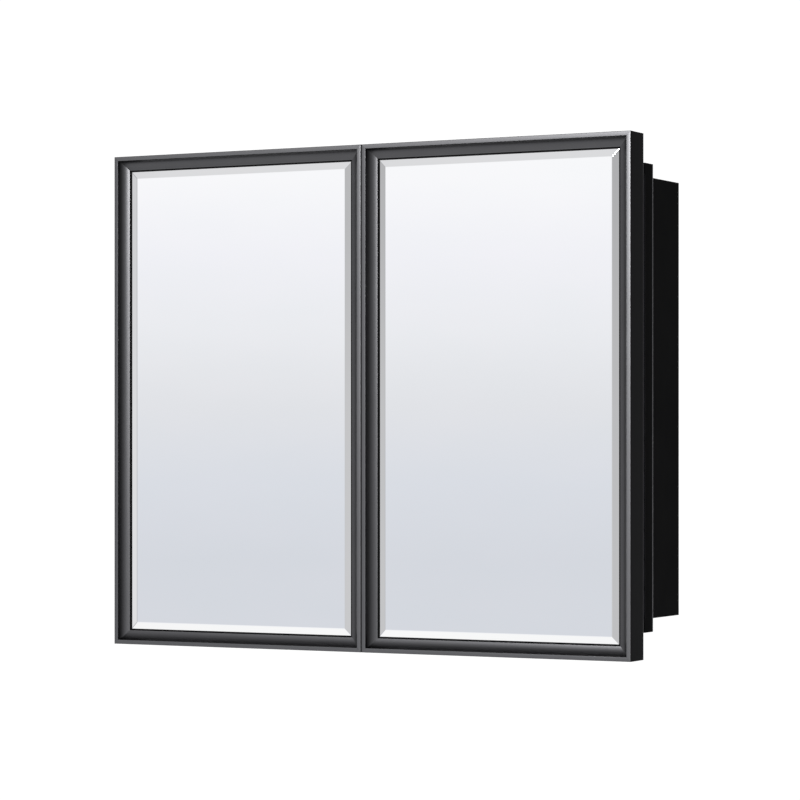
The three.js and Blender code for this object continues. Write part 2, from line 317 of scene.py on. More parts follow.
@dataclass(frozen=True)
class AnodisedAluminium(Finish):
    """Extruded aluminium, bead blasted and anodised dark graphite.

    The blasting leaves a fine even sparkle, the die leaves faint lines along the length, and the dye
    film is thinner on the arrises, which read a little lighter. Painted shade darkens the corner beside the
    lip, and a painted highlight lightens the rear outer edge.
    """

    colour: str = "#59595b"
    # painted shade: darker colour for the corner beside the lip
    corner_shade: str = "#2a2a2c"
    # pale colour of worn arrises, also used as the painted highlight on the rear outer edge
    worn_and_lit: str = "#d4d4d6"
    roughness: float = 0.33
    blast_mm: float = 0.8  # real blasting is near 0.1 mm; drawn coarser so that it shows
    die_line_mm: float = 0.7
    die_run_mm: float = 160.0
    cloud_mm: float = 45.0
    cloud_depth: float = 0.93  # brightness of the dullest clouds in the dye
    shade_rise_mm: Point2 = (5.7, 6.2)  # distance round the section over which the painted corner shade sets in
    shade_fall_mm: Point2 = (8.5, 13.0)  # and over which the painted shade fades out again
    shade_depth: float = 0.55
    rubbed_and_lit: Point2 = (0.5, 0.66)  # share of the worn colour between the blasted pits and on them
    relief_mm: float = 0.006

    def painted_corner_shade(self, tree: bpy.types.NodeTree, profile: bpy.types.NodeSocket) -> bpy.types.NodeSocket:
        """Find where painted shade darkens the corner beside the lip.

        Args:
            tree: the material's tree.
            profile: the place round the section and along the bar, in metres.

        Returns:
            The factor of the painted shade.
        """
        around = add_node(tree, "ShaderNodeSeparateXYZ", inputs={"Vector": profile}).outputs["X"]
        rises, deepest = (distance * MM for distance in self.shade_rise_mm)
        thins, ends = (distance * MM for distance in self.shade_fall_mm)
        inside = {"Value": around, "From Min": rises, "From Max": deepest, "To Max": self.shade_depth}
        outside = {"Value": around, "From Min": ends, "From Max": thins}
        ramps = [add_node(tree, "ShaderNodeMapRange", {}, side).outputs[0] for side in (inside, outside)]
        both = {0: ramps[0], 1: ramps[1]}
        return add_node(tree, "ShaderNodeMath", {"operation": "MULTIPLY"}, both).outputs[0]

    def skin(self, tree: bpy.types.NodeTree, place: bpy.types.NodeSocket) -> dict[str, Any]:
        """Dye with painted corner shade, blasted sparkle, die lines, and paler arrises with a painted
        rear-edge highlight.

        Args:
            tree: the material's tree.
            place: the place on the piece, in metres.

        Returns:
            The shader's inputs.
        """
        profile = add_node(tree, "ShaderNodeUVMap", {"uv_map": PROFILE_UV}).outputs["UV"]
        lines = self.mottle(tree, profile, (self.die_line_mm, self.die_run_mm, 1.0), 2.0)
        blast = self.mottle(tree, place, (self.blast_mm,) * 3, 2.0)
        cloud = self.mottle(tree, place, (self.cloud_mm,) * 3, 2.0)
        base = srgb(self.colour)
        dull = tuple(self.cloud_depth * c for c in base[:3]) + (1.0,)
        even = self.between(tree, self.spread(tree, cloud, 0.0, 1.0), dull, base)
        # painted shade: the dye is darkened in the corner beside the lip, where shade falls
        dye_and_shade = self.between(tree, self.painted_corner_shade(tree, profile), even, srgb(self.corner_shade))
        mixed = {0: lines, 1: 0.5, 2: blast}
        texture = add_node(tree, "ShaderNodeMath", {"operation": "MULTIPLY_ADD"}, mixed)
        return {
            # painted highlight: the wear attribute also lightens the rear outer edges, where a highlight
            # falls
            "Base Color": self.paled_by_wear_and_highlight(tree, dye_and_shade, self.worn_and_lit, self.spread(tree, blast, *self.rubbed_and_lit)),
            "Roughness": self.spread(tree, lines, self.roughness - 0.03, self.roughness + 0.03),
            "Normal": self.relief(tree, texture.outputs[0], self.relief_mm),
            "Metallic": 1.0,
        }


@dataclass(frozen=True)
class SilveredGlass(Finish):
    """Float glass, silvered on the back and polished.

    It gives back nearly all the light with the faint green of the glass, and only the lightest film
    left by wiping stirs its gloss.
    """

    colour: str = "#f9f9f9"
    film: str = "#f7f8f8"
    wipe_mm: float = 160.0
    wipe_rise_mm: float = 64.0
    haze: float = 0.006  # roughness of the thickest film

    def skin(self, tree: bpy.types.NodeTree, place: bpy.types.NodeSocket) -> dict[str, Any]:
        """Near-perfect mirror with a wiped film too faint to see as a mark.

        Args:
            tree: the material's tree.
            place: the place on the piece, in metres.

        Returns:
            The shader's inputs.
        """
        film = self.mottle(tree, place, (self.wipe_mm, self.wipe_mm, self.wipe_rise_mm), 2.0)
        return {**self.stirred(tree, film, (self.colour, self.film), (0.0, self.haze)), "Metallic": 1.0}


@dataclass(frozen=True)
class BlackLacquer(Finish):
    """Satin black lacquer sprayed on moisture-proof board.

    Sprayed lacquer levels to a soft orange peel a few millimetres across, with a slightly uneven sheen,
    and a painted highlight lightens the rounded rear outer edge of each stile.
    """

    colour: str = "#060607"
    dusty: str = "#0b0b0d"
    # painted highlight colour for the stiles' rounded rear outer edges
    rubbed_and_lit: str = "#b4b4b8"
    gloss: float = 0.17  # the pigment scatters little back at a slant
    roughness: float = 0.42
    peel_mm: float = 2.4
    cloud_mm: float = 70.0
    relief_mm: float = 0.02

    def skin(self, tree: bpy.types.NodeTree, place: bpy.types.NodeSocket) -> dict[str, Any]:
        """Orange peel, uneven sheen, a trace of dust and a painted highlight on rounded rear edges.

        Args:
            tree: the material's tree.
            place: the place on the piece, in metres.

        Returns:
            The shader's inputs.
        """
        peel = self.mottle(tree, place, (self.peel_mm,) * 3, 1.5)
        cloud = self.mottle(tree, place, (self.cloud_mm,) * 3, 3.0)
        sprayed = self.two_tone(tree, cloud, self.colour, self.dusty)
        return {
            "Base Color": self.paled_by_wear_and_highlight(tree, sprayed, self.rubbed_and_lit),
            "Roughness": self.spread(tree, cloud, self.roughness - 0.05, self.roughness + 0.06),
            "Normal": self.relief(tree, peel, self.relief_mm),
            "Specular IOR Level": self.gloss,
        }


@dataclass(frozen=True)
class PlatedMetal(Finish):
    """Rolled or turned metal with a thin plated or blackened skin.

    The rolling leaves short scratches along one direction, and the plating evens them to a satin.
    """

    colour: str = "#9c9a96"
    second: str = "#84827f"
    roughness: float = 0.28
    scratch_mm: tuple[float, float, float] = (0.5, 0.5, 9.0)
    relief_mm: float = 0.008

    def skin(self, tree: bpy.types.NodeTree, place: bpy.types.NodeSocket) -> dict[str, Any]:
        """Fine scratches in colour, gloss and relief.

        Args:
            tree: the material's tree.
            place: the place on the piece, in metres.

        Returns:
            The shader's inputs.
        """
        scratch = self.mottle(tree, place, self.scratch_mm, 3.0)
        colours = (self.colour, self.second)
        roughness = (self.roughness - 0.06, self.roughness + 0.1)
        return {**self.stirred(tree, scratch, colours, roughness, self.relief_mm), "Metallic": 1.0}


@dataclass(frozen=True)
class ClearGlass(Finish):
    """Clear float glass; seen through its edge it is green, because the light path is long there."""

    tint: str = "#f4fbf8"
    streak: str = "#e6f4ee"
    roughness: float = 0.0
    transmission: float = 1.0
    streak_mm: tuple[float, float, float] = (220.0, 30.0, 30.0)
    refraction: float = 1.52

    def skin(self, tree: bpy.types.NodeTree, place: bpy.types.NodeSocket) -> dict[str, Any]:
        """Transparent body with faint drawing streaks.

        Args:
            tree: the material's tree.
            place: the place on the piece, in metres.

        Returns:
            The shader's inputs.
        """
        streak = self.mottle(tree, place, self.streak_mm, 1.0)
        roughness = (self.roughness, self.roughness + 0.02)
        return {
            **self.stirred(tree, streak, (self.tint, self.streak), roughness),
            "IOR": self.refraction,
            "Transmission Weight": self.transmission,
        }


@dataclass(frozen=True)
class MouldedPolymer(Finish):
    """Injection-moulded plastic, rubber, and the black bead that paints the shade at the sight edge: a fine
    spark-eroded grain, no metal.
    """

    colour: str = "#161617"
    second: str = "#1d1d1f"
    roughness: float = 0.55
    grain_mm: float = 0.5
    gloss: float = 0.5
    relief_mm: float = 0.012

    def skin(self, tree: bpy.types.NodeTree, place: bpy.types.NodeSocket) -> dict[str, Any]:
        """Even colour broken by the mould's grain.

        Args:
            tree: the material's tree.
            place: the place on the piece, in metres.

        Returns:
            The shader's inputs.
        """
        grain = self.mottle(tree, place, (self.grain_mm,) * 3, 2.0)
        colours = (self.colour, self.second)
        roughness = (self.roughness - 0.05, self.roughness + 0.1)
        return {
            **self.stirred(tree, grain, colours, roughness, self.relief_mm),
            "Specular IOR Level": self.gloss,
        }


@dataclass(frozen=True)
class Hardboard(Finish):
    """Pressed wood-fibre board: brown, matt, with tangled fibres a few millimetres long."""

    colour: str = "#5a4331"
    second: str = "#7a5f47"
    fibre_mm: tuple[float, float, float] = (1.2, 1.2, 4.0)
    roughness: Point2 = (0.8, 0.95)
    relief_mm: float = 0.05

    def skin(self, tree: bpy.types.NodeTree, place: bpy.types.NodeSocket) -> dict[str, Any]:
        """Tangled fibres in colour and relief.

        Args:
            tree: the material's tree.
            place: the place on the piece, in metres.

        Returns:
            The shader's inputs.
        """
        fibre = self.mottle(tree, place, self.fibre_mm, 5.0)
        return self.stirred(tree, fibre, (self.colour, self.second), self.roughness, self.relief_mm)


class Use(Enum):
    """The finishes of this cabinet, by what they are on."""

    FRAME = AnodisedAluminium("graphite_anodised_aluminium", "anodised_aluminium")
    MIRROR = SilveredGlass("silvered_float_glass", "mirror_glass")
    INNER_MIRROR = SilveredGlass("silvered_glass_thin", "mirror_glass", "#f1f5f3", "#eaf0ed")
    CASE = BlackLacquer("satin_black_lacquer", "black_lacquer")
    HINGE = PlatedMetal("blackened_rolled_steel", "black_steel", "#3c3c40", "#2c2c2f", 0.3)
    SCREW = PlatedMetal("blackened_screw_steel", "black_steel", "#4a4a4e", "#38383b", 0.28, (0.4, 0.4, 0.4))
    NICKEL = PlatedMetal("satin_nickel_plate", "nickel", "#c4c1bb", "#b1aea8", 0.24, (0.6, 0.6, 0.6))
    SHELF = ClearGlass("clear_float_glass", "shelf_glass")
    SHELF_EDGE = ClearGlass("polished_glass_edge", "shelf_glass", "#7fb6a3", "#6aa892", 0.12, 0.75)
    # painted shade: a near-black, low-gloss bead that stands in for the shadow in the gap at the sight edge
    SHADE_BEAD = MouldedPolymer("black_shade_bead", "catch_plastic", "#050506", "#080809", 0.7, 0.8, 0.08)
    CATCH = MouldedPolymer("moulded_black_abs", "catch_plastic")
    BUMPER = MouldedPolymer("clear_grey_rubber", "bumper_rubber", "#8c8d8f", "#808184", 0.5, 0.6)
    KEY = MouldedPolymer("moulded_black_nylon", "nylon_key", "#1c1c1d", "#242426", 0.6, 0.8)
    BOARD = Hardboard("pressed_hardboard", "backing_board")


# ---------------------------------------------------------------- mesh helpers


def new_object(name: str, mesh: bpy.types.Mesh) -> bpy.types.Object:
    """Put a mesh into the scene.

    Args:
        name: name of the object.
        mesh: its mesh.

    Returns:
        The object, at the origin.
    """
    made = bpy.data.objects.new(name, mesh)
    bpy.context.scene.collection.objects.link(made)
    return made


def solid(
    name: str, vertices: Sequence[Sequence[float]], faces: Sequence[Sequence[int]]
) -> bpy.types.Object:
    """Make a closed object from points in millimetres, with its faces turned outwards.

    Args:
        name: name of the object and mesh.
        vertices: points in millimetres.
        faces: rings of vertex numbers.

    Returns:
        The object, at the origin.
    """
    mesh = bpy.data.meshes.new(name)
    mesh.from_pydata([Vector(v) * MM for v in vertices], [], faces)
    shell = bmesh.new()
    shell.from_mesh(mesh)
    bmesh.ops.recalc_face_normals(shell, faces=shell.faces)
    shell.to_mesh(mesh)
    shell.free()
    return new_object(name, mesh)


def prism_faces(count: int) -> list[list[int]]:
    """Faces of a prism whose near outline comes first and whose far outline follows.

    Args:
        count: points of one outline.

    Returns:
        The sides, then both ends.
    """
    sides = [[i, (i + 1) % count, count + (i + 1) % count, count + i] for i in range(count)]
    return sides + [list(range(count)), list(range(2 * count - 1, count - 1, -1))]


def write_wear_and_highlight(piece: bpy.types.Object, values: Sequence[float]) -> None:
    """Store the wear of each of a piece's points, the painted edge highlight included, for its finish to
    read.
    """
    piece.data.attributes.new(WEAR_AND_HIGHLIGHT, "FLOAT", "POINT").data.foreach_set("value", values)


def merged_copy(node: str, name: str) -> bpy.types.Object:
    """Copy a CAD node, with its loose triangles merged into plain faces.

    Args:
        node: the CAD node's name.
        name: name of the copy.

    Returns:
        The copy.
    """
    shell = bmesh.new()
    shell.from_mesh(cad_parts[node].data)
    bmesh.ops.remove_doubles(shell, verts=shell.verts, dist=1e-6)
    bmesh.ops.dissolve_limit(shell, angle_limit=math.radians(0.5), verts=shell.verts, edges=shell.edges)
    mesh = bpy.data.meshes.new(name)
    shell.to_mesh(mesh)
    shell.free()
    return new_object(name, mesh)


def settle(piece: bpy.types.Object) -> bpy.types.Object:
    """Turn a piece's modifiers into plain mesh, and remove them.

    Args:
        piece: the piece, with live modifiers.

    Returns:
        The same object.
    """
    bpy.context.view_layer.update()
    graph = bpy.context.evaluated_depsgraph_get()
    mesh = bpy.data.meshes.new_from_object(
        piece.evaluated_get(graph), preserve_all_data_layers=True, depsgraph=graph
    )
    piece.modifiers.clear()
    old, piece.data = piece.data, mesh
    mesh.name = piece.name
    if old.users == 0:
        bpy.data.meshes.remove(old)
    return piece


def ease(
    piece: bpy.types.Object, radius_mm: float, segments: int = 3, from_deg: float = 40.0
) -> bpy.types.Object:
    """Round a piece's sharp edges, as sanding, tumbling or arrissing does.

    Args:
        piece: the object to round.
        radius_mm: how far the rounding reaches from the edge.
        segments: facets of the rounding.
        from_deg: edges that turn more than this are rounded.

    Returns:
        The same object, with a plain mesh.
    """
    for polygon in piece.data.polygons:
        polygon.use_smooth = True
    bevel = piece.modifiers.new("ease", "BEVEL")
    bevel.width = radius_mm * MM
    bevel.segments = segments
    bevel.limit_method = "ANGLE"
    bevel.angle_limit = math.radians(from_deg)
    bevel.use_clamp_overlap = False
    bevel.harden_normals = True
    return settle(piece)


def smooth(piece: bpy.types.Object, sharp_deg: float = 35.0) -> bpy.types.Object:
    """Shade a piece smooth, but keep its sharp edges crisp.

    Args:
        piece: the piece.
        sharp_deg: edges that turn more than this stay crisp.

    Returns:
        The same object.
    """
    for polygon in piece.data.polygons:
        polygon.use_smooth = True
    piece.data.set_sharp_from_angle(angle=math.radians(sharp_deg))
    return piece


def flat_faces(piece: bpy.types.Object, above_mm2: float = 100.0) -> bpy.types.Object:
    """Shade a drilled board's big faces flat, so that no hole bends their shading.

    Args:
        piece: the board.
        above_mm2: faces larger than this are flat.

    Returns:
        The same object.
    """
    for polygon in piece.data.polygons:
        if polygon.area > above_mm2 * MM * MM:
            polygon.use_smooth = False
    return piece


def box_points(low: Vector, high: Vector) -> tuple[list[Vector], list[list[int]]]:
    """Lay out an upright block.

    Args:
        low: its lowest corner.
        high: its highest corner.

    Returns:
        Its eight points, and its faces as rings of point numbers.
    """
    points = [
        Vector((x, y, z)) for x in (low.x, high.x) for y in (low.y, high.y) for z in (low.z, high.z)
    ]
    faces = [[0, 1, 3, 2], [4, 6, 7, 5], [0, 4, 5, 1], [2, 3, 7, 6], [0, 2, 6, 4], [1, 5, 7, 3]]
    return points, faces


def eased_block(node: str, name: str, radius_mm: float, segments: int = 3) -> bpy.types.Object:
    """Make a block the size of a CAD node, with eased edges.

    Args:
        node: the CAD node.
        name: name of the block.
        radius_mm: how far the rounding reaches from the edges.
        segments: facets of the rounding.

    Returns:
        The block.
    """
    low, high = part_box(node)
    points, faces = box_points(low / MM, high / MM)
    return ease(solid(name, points, faces), radius_mm, segments)


def turned(
    name: str, profile: Sequence[Point2], axis: str, centre: Sequence[float], segments: int = 32
) -> bpy.types.Object:
    """Turn a profile round an axis into a closed round piece.

    Args:
        name: name of the piece.
        profile: radius and distance along the axis in millimetres, from tip to tip, radius 0 at both ends.
        axis: "+X", "-X", "+Y" or "+Z", the way that the distance runs.
        centre: where the profile's distance 0 lies, in millimetres.
        segments: facets round the axis.

    Returns:
        The piece, shaded smooth.
    """
    turns = {
        "+X": Matrix.Rotation(math.pi / 2, 3, "Y"),
        "-X": Matrix.Rotation(-math.pi / 2, 3, "Y"),
        "+Y": Matrix.Rotation(-math.pi / 2, 3, "X"),
        "+Z": Matrix.Identity(3),
    }
    points = [Vector((0, 0, profile[0][1]))]
    faces: list[list[int]] = []
    rings = profile[1:-1]
    for r, along in rings:
        for i in range(segments):
            angle = 2 * math.pi * i / segments
            points.append(Vector((r * math.cos(angle), r * math.sin(angle), along)))
    points.append(Vector((0, 0, profile[-1][1])))
    last = len(points) - 1
    for i in range(segments):
        j = (i + 1) % segments
        faces.append([0, 1 + j, 1 + i])
        for k in range(len(rings) - 1):
            a, b = 1 + k * segments, 1 + (k + 1) * segments
            faces.append([a + i, a + j, b + j, b + i])
        top = 1 + (len(rings) - 1) * segments
        faces.append([top + i, top + j, last])
    placed = [turns[axis] @ p + Vector(centre) for p in points]
    return smooth(solid(name, placed, faces))


def rounded_outline(corners: Sequence[tuple[float, float, float]], steps: int = 5) -> list[tuple]:
    """Round the corners of a closed outline.

    Args:
        corners: two coordinates and the corner's radius, in order round the outline.
        steps: segments of each rounding.

    Returns:
        Points as (first, second, on_arris): 1.0 within a rounding, ARRIS_END at its ends, 0.0 elsewhere.
    """
    outline: list[tuple] = []
    count = len(corners)
    for i, (a, b, radius) in enumerate(corners):
        here = Vector((a, b))
        if radius == 0:
            outline.append((a, b, 0.0))
            continue
        before = Vector(corners[i - 1][:2]) - here
        after = Vector(corners[(i + 1) % count][:2]) - here
        turn = math.pi - before.angle(after)
        reach = min(radius * math.tan(turn / 2), ARRIS_SHARE * before.length, ARRIS_SHARE * after.length)
        start, end = here + before.normalized() * reach, here + after.normalized() * reach
        for k in range(steps + 1):
            t = k / steps
            point = (1 - t) ** 2 * start + 2 * t * (1 - t) * here + t**2 * end
            outline.append((point.x, point.y, 1.0 if 0 < k < steps else ARRIS_END))
    return outline


# ---------------------------------------------------------------- geometry node trees


class NodeShape:
    """A Geometry Nodes tree with named inputs, run once and kept as plain mesh."""

    def __init__(self, name: str, inputs: dict[str, tuple[str, Any]]) -> None:
        """Open a tree.

        Args:
            name: name of the tree.
            inputs: socket type and first value of each named input.
        """
        self.tree = bpy.data.node_groups.new(name, "GeometryNodeTree")
        self.tree.interface.new_socket("Geometry", in_out="OUTPUT", socket_type="NodeSocketGeometry")
        self.sockets: dict[str, str] = {}
        for label, (kind, value) in inputs.items():
            socket = self.tree.interface.new_socket(label, in_out="INPUT", socket_type=kind)
            if value is not None:
                socket.default_value = value
            self.sockets[label] = socket.identifier
        self.given = add_node(self.tree, "NodeGroupInput").outputs

    def node(self, kind: str, settings: dict | None = None, inputs: dict | None = None) -> bpy.types.Node:
        """Add a node to this tree."""
        return add_node(self.tree, kind, settings, inputs)

    def end(self, geometry: bpy.types.NodeSocket) -> None:
        """Close the tree with real geometry in the finish that the Finish input names.

        Args:
            geometry: what the tree has made.
        """
        real = self.node("GeometryNodeRealizeInstances", inputs={"Geometry": geometry})
        dressed = self.node(
            "GeometryNodeSetMaterial",
            inputs={"Geometry": real.outputs[0], "Material": self.given["Finish"]},
        )
        self.node("NodeGroupOutput", inputs={"Geometry": dressed.outputs[0]})

    def make(self, name: str, finish: Use, values: dict[str, Any]) -> bpy.types.Object:
        """Run the tree with its values and keep the result.

        Args:
            name: name of the new piece.
            finish: what it is made of.
            values: the named inputs that differ from their first value.

        Returns:
            A plain mesh object at the origin.
        """
        piece = new_object(name, bpy.data.meshes.new(name))
        modifier = piece.modifiers.new("shape", "NODES")
        modifier.node_group = self.tree
        for label, value in {**values, "Finish": finish.value.material()}.items():
            modifier[self.sockets[label]] = value
        return settle(piece)


FLOAT, WHOLE, VECTOR, FINISH = "NodeSocketFloat", "NodeSocketInt", "NodeSocketVector", "NodeSocketMaterial"
ROUND_SEGMENTS = 28  # facets round a knuckle or a sleeve


def bevelled_glass_tree() -> NodeShape:
    """Sheet of glass whose front face is ground to a wide bevel all round.

    Returns:
        The tree that makes the sheet.
    """
    shape = NodeShape(
        "bevelled_glass",
        {
            "Width": (FLOAT, 0.35),
            "Height": (FLOAT, 0.63),
            "Edge Thickness": (FLOAT, 0.003),
            "Bevel Width": (FLOAT, 0.016),
            "Bevel Drop": (FLOAT, 0.002),
            "Centre": (VECTOR, (0.0, 0.0, 0.0)),
            "Finish": (FINISH, None),
        },
    )
    given = shape.given
    size = shape.node(
        "ShaderNodeCombineXYZ",
        inputs={"X": given["Width"], "Y": given["Edge Thickness"], "Z": given["Height"]},
    )
    sheet = shape.node("GeometryNodeMeshCube", inputs={"Size": size.outputs[0]})
    facing = shape.node(
        "ShaderNodeVectorMath",
        {"operation": "DOT_PRODUCT"},
        {0: shape.node("GeometryNodeInputNormal").outputs[0], 1: (0.0, -1.0, 0.0)},
    )
    is_front = shape.node(
        "FunctionNodeCompare",
        {"data_type": "FLOAT", "operation": "GREATER_THAN"},
        {0: facing.outputs["Value"], 1: 0.5},
    )
    raised = shape.node(
        "GeometryNodeExtrudeMesh",
        {"mode": "FACES"},
        {
            "Mesh": sheet.outputs["Mesh"],
            "Selection": is_front.outputs[0],
            "Offset Scale": given["Bevel Drop"],
        },
    )
    shrink = []
    for side in ("Width", "Height"):
        parts = {0: given["Bevel Width"], 1: given[side]}
        share = shape.node("ShaderNodeMath", {"operation": "DIVIDE"}, parts).outputs[0]
        left = shape.node("ShaderNodeMath", {"operation": "MULTIPLY_ADD"}, {0: share, 1: -2.0, 2: 1.0})
        shrink.append(left.outputs[0])
    factor = shape.node("ShaderNodeCombineXYZ", inputs={"X": shrink[0], "Y": 1.0, "Z": shrink[1]})
    pulled = shape.node(
        "ShaderNodeVectorMath",
        {"operation": "MULTIPLY"},
        {0: shape.node("GeometryNodeInputPosition").outputs[0], 1: factor.outputs[0]},
    )
    ground = shape.node(
        "GeometryNodeSetPosition",
        inputs={
            "Geometry": raised.outputs["Mesh"],
            "Selection": raised.outputs["Top"],
            "Position": pulled.outputs[0],
        },
    )
    placed = shape.node(
        "GeometryNodeTransform", inputs={"Geometry": ground.outputs[0], "Translation": given["Centre"]}
    )
    shape.end(placed.outputs[0])
    return shape


def hinge_leaf_tree() -> NodeShape:
    """Leaf of a continuous hinge: a long strip, its tabs, and the knuckles rolled from them.

    Returns:
        The tree that makes the leaf.
    """
    shape = NodeShape(
        "continuous_hinge_leaf",
        {
            "Axis": (VECTOR, (0.0, 0.0, 0.0)),
            "First Z": (FLOAT, -0.26),
            "Step": (FLOAT, 0.0747),
            "Count": (WHOLE, 7),
            "Knuckle Length": (FLOAT, 0.037),
            "Outer Radius": (FLOAT, 0.0022),
            "Bore Radius": (FLOAT, 0.00125),
            "Knuckle Arris": (FLOAT, 0.00015),
            "Strip Size": (VECTOR, (0.0098, 0.0009, 0.56)),
            "Strip Offset": (VECTOR, (-0.0074, 0.0006, 0.0)),
            "Tab Size": (VECTOR, (0.0014, 0.0009, 0.036)),
            "Tab Offset": (VECTOR, (-0.0022, 0.0006, 0.0)),
            "Finish": (FINISH, None),
        },
    )
    given = shape.given
    strip = shape.node("GeometryNodeMeshCube", inputs={"Size": given["Strip Size"]})
    strip_place = shape.node(
        "ShaderNodeVectorMath", {"operation": "ADD"}, {0: given["Axis"], 1: given["Strip Offset"]}
    )
    strip_put = shape.node(
        "GeometryNodeTransform",
        inputs={"Geometry": strip.outputs["Mesh"], "Translation": strip_place.outputs[0]},
    )
    tab = shape.node("GeometryNodeMeshCube", inputs={"Size": given["Tab Size"]})
    tab_put = shape.node(
        "GeometryNodeTransform", inputs={"Geometry": tab.outputs["Mesh"], "Translation": given["Tab Offset"]}
    )
    radii = {0: given["Outer Radius"], 1: given["Bore Radius"]}
    total = shape.node("ShaderNodeMath", {"operation": "ADD"}, radii)
    middle = shape.node("ShaderNodeMath", {"operation": "MULTIPLY"}, {0: total.outputs[0], 1: 0.5})
    wall = shape.node("ShaderNodeMath", {"operation": "SUBTRACT"}, radii)
    round_path = {"Resolution": ROUND_SEGMENTS, "Radius": middle.outputs[0]}
    path = shape.node("GeometryNodeCurvePrimitiveCircle", inputs=round_path)
    section = shape.node(
        "GeometryNodeCurvePrimitiveQuadrilateral",
        inputs={"Width": wall.outputs[0], "Height": given["Knuckle Length"]},
    )
    softened = shape.node(
        "GeometryNodeFilletCurve",
        {"mode": "POLY"},
        {"Curve": section.outputs[0], "Count": 2, "Radius": given["Knuckle Arris"]},
    )
    ring = shape.node(
        "GeometryNodeCurveToMesh",
        inputs={"Curve": path.outputs["Curve"], "Profile Curve": softened.outputs[0]},
    )
    knuckle = shape.node("GeometryNodeJoinGeometry")
    for part in (tab_put.outputs[0], ring.outputs[0]):
        shape.tree.links.new(part, knuckle.inputs[0])
    first = shape.node("ShaderNodeCombineXYZ", inputs={"Z": given["First Z"]})
    start = shape.node("ShaderNodeVectorMath", {"operation": "ADD"}, {0: given["Axis"], 1: first.outputs[0]})
    stride = shape.node("ShaderNodeCombineXYZ", inputs={"Z": given["Step"]})
    line = shape.node(
        "GeometryNodeMeshLine",
        {"mode": "OFFSET"},
        {"Count": given["Count"], "Start Location": start.outputs[0], "Offset": stride.outputs[0]},
    )
    row = shape.node(
        "GeometryNodeInstanceOnPoints", inputs={"Points": line.outputs[0], "Instance": knuckle.outputs[0]}
    )
    leaf = shape.node("GeometryNodeJoinGeometry")
    for part in (strip_put.outputs[0], row.outputs[0]):
        shape.tree.links.new(part, leaf.inputs[0])
    shape.end(leaf.outputs[0])
    return shape


def screw_row_tree() -> NodeShape:
    """Row of flat screw heads with a crossed recess, at even steps.

    Returns:
        The tree that makes the row.
    """
    shape = NodeShape(
        "screw_row",
        {
            "Start": (VECTOR, (0.0, 0.0, 0.0)),
            "Step": (VECTOR, (0.0, 0.0, 0.05)),
            "Count": (WHOLE, 1),
            "Facing": (VECTOR, (0.0, 0.0, 0.0)),
            "Head Radius": (FLOAT, 0.0021),
            "Head Height": (FLOAT, 0.0003),
            "Recess Width": (FLOAT, 0.0006),
            "Recess Length": (FLOAT, 0.0024),
            "Recess Lift": (FLOAT, 0.4),
            "Finish": (FINISH, None),
        },
    )
    given = shape.given
    head = shape.node(
        "GeometryNodeMeshCylinder",
        {"fill_type": "NGON"},
        {"Vertices": 20, "Radius": given["Head Radius"], "Depth": given["Head Height"]},
    )
    sizes = (("Recess Width", "Recess Length"), ("Recess Length", "Recess Width"))
    cutters = []
    for across, along in sizes:
        size = {"X": given[across], "Y": given[along], "Z": given["Head Height"]}
        block = shape.node("ShaderNodeCombineXYZ", inputs=size)
        blade = shape.node("GeometryNodeMeshCube", inputs={"Size": block.outputs[0]})
        rise = shape.node("ShaderNodeCombineXYZ", inputs={"Z": given["Head Height"]})
        lift = {0: rise.outputs[0], "Scale": given["Recess Lift"]}
        lifted = shape.node("ShaderNodeVectorMath", {"operation": "SCALE"}, lift)
        raised = shape.node(
            "GeometryNodeTransform",
            inputs={"Geometry": blade.outputs["Mesh"], "Translation": lifted.outputs[0]},
        )
        cutters.append(raised.outputs[0])
    slotted = head.outputs["Mesh"]
    for cutter in cutters:
        boolean = shape.node("GeometryNodeMeshBoolean", {"operation": "DIFFERENCE"}, {"Mesh 1": slotted})
        shape.tree.links.new(cutter, boolean.inputs["Mesh 2"])
        slotted = boolean.outputs["Mesh"]
    line = shape.node(
        "GeometryNodeMeshLine",
        {"mode": "OFFSET"},
        {"Count": given["Count"], "Start Location": given["Start"], "Offset": given["Step"]},
    )
    turn = shape.node("FunctionNodeEulerToRotation", inputs={0: given["Facing"]})
    row = shape.node(
        "GeometryNodeInstanceOnPoints",
        inputs={"Points": line.outputs[0], "Instance": slotted, "Rotation": turn.outputs[0]},
    )
    shape.end(row.outputs[0])
    return shape


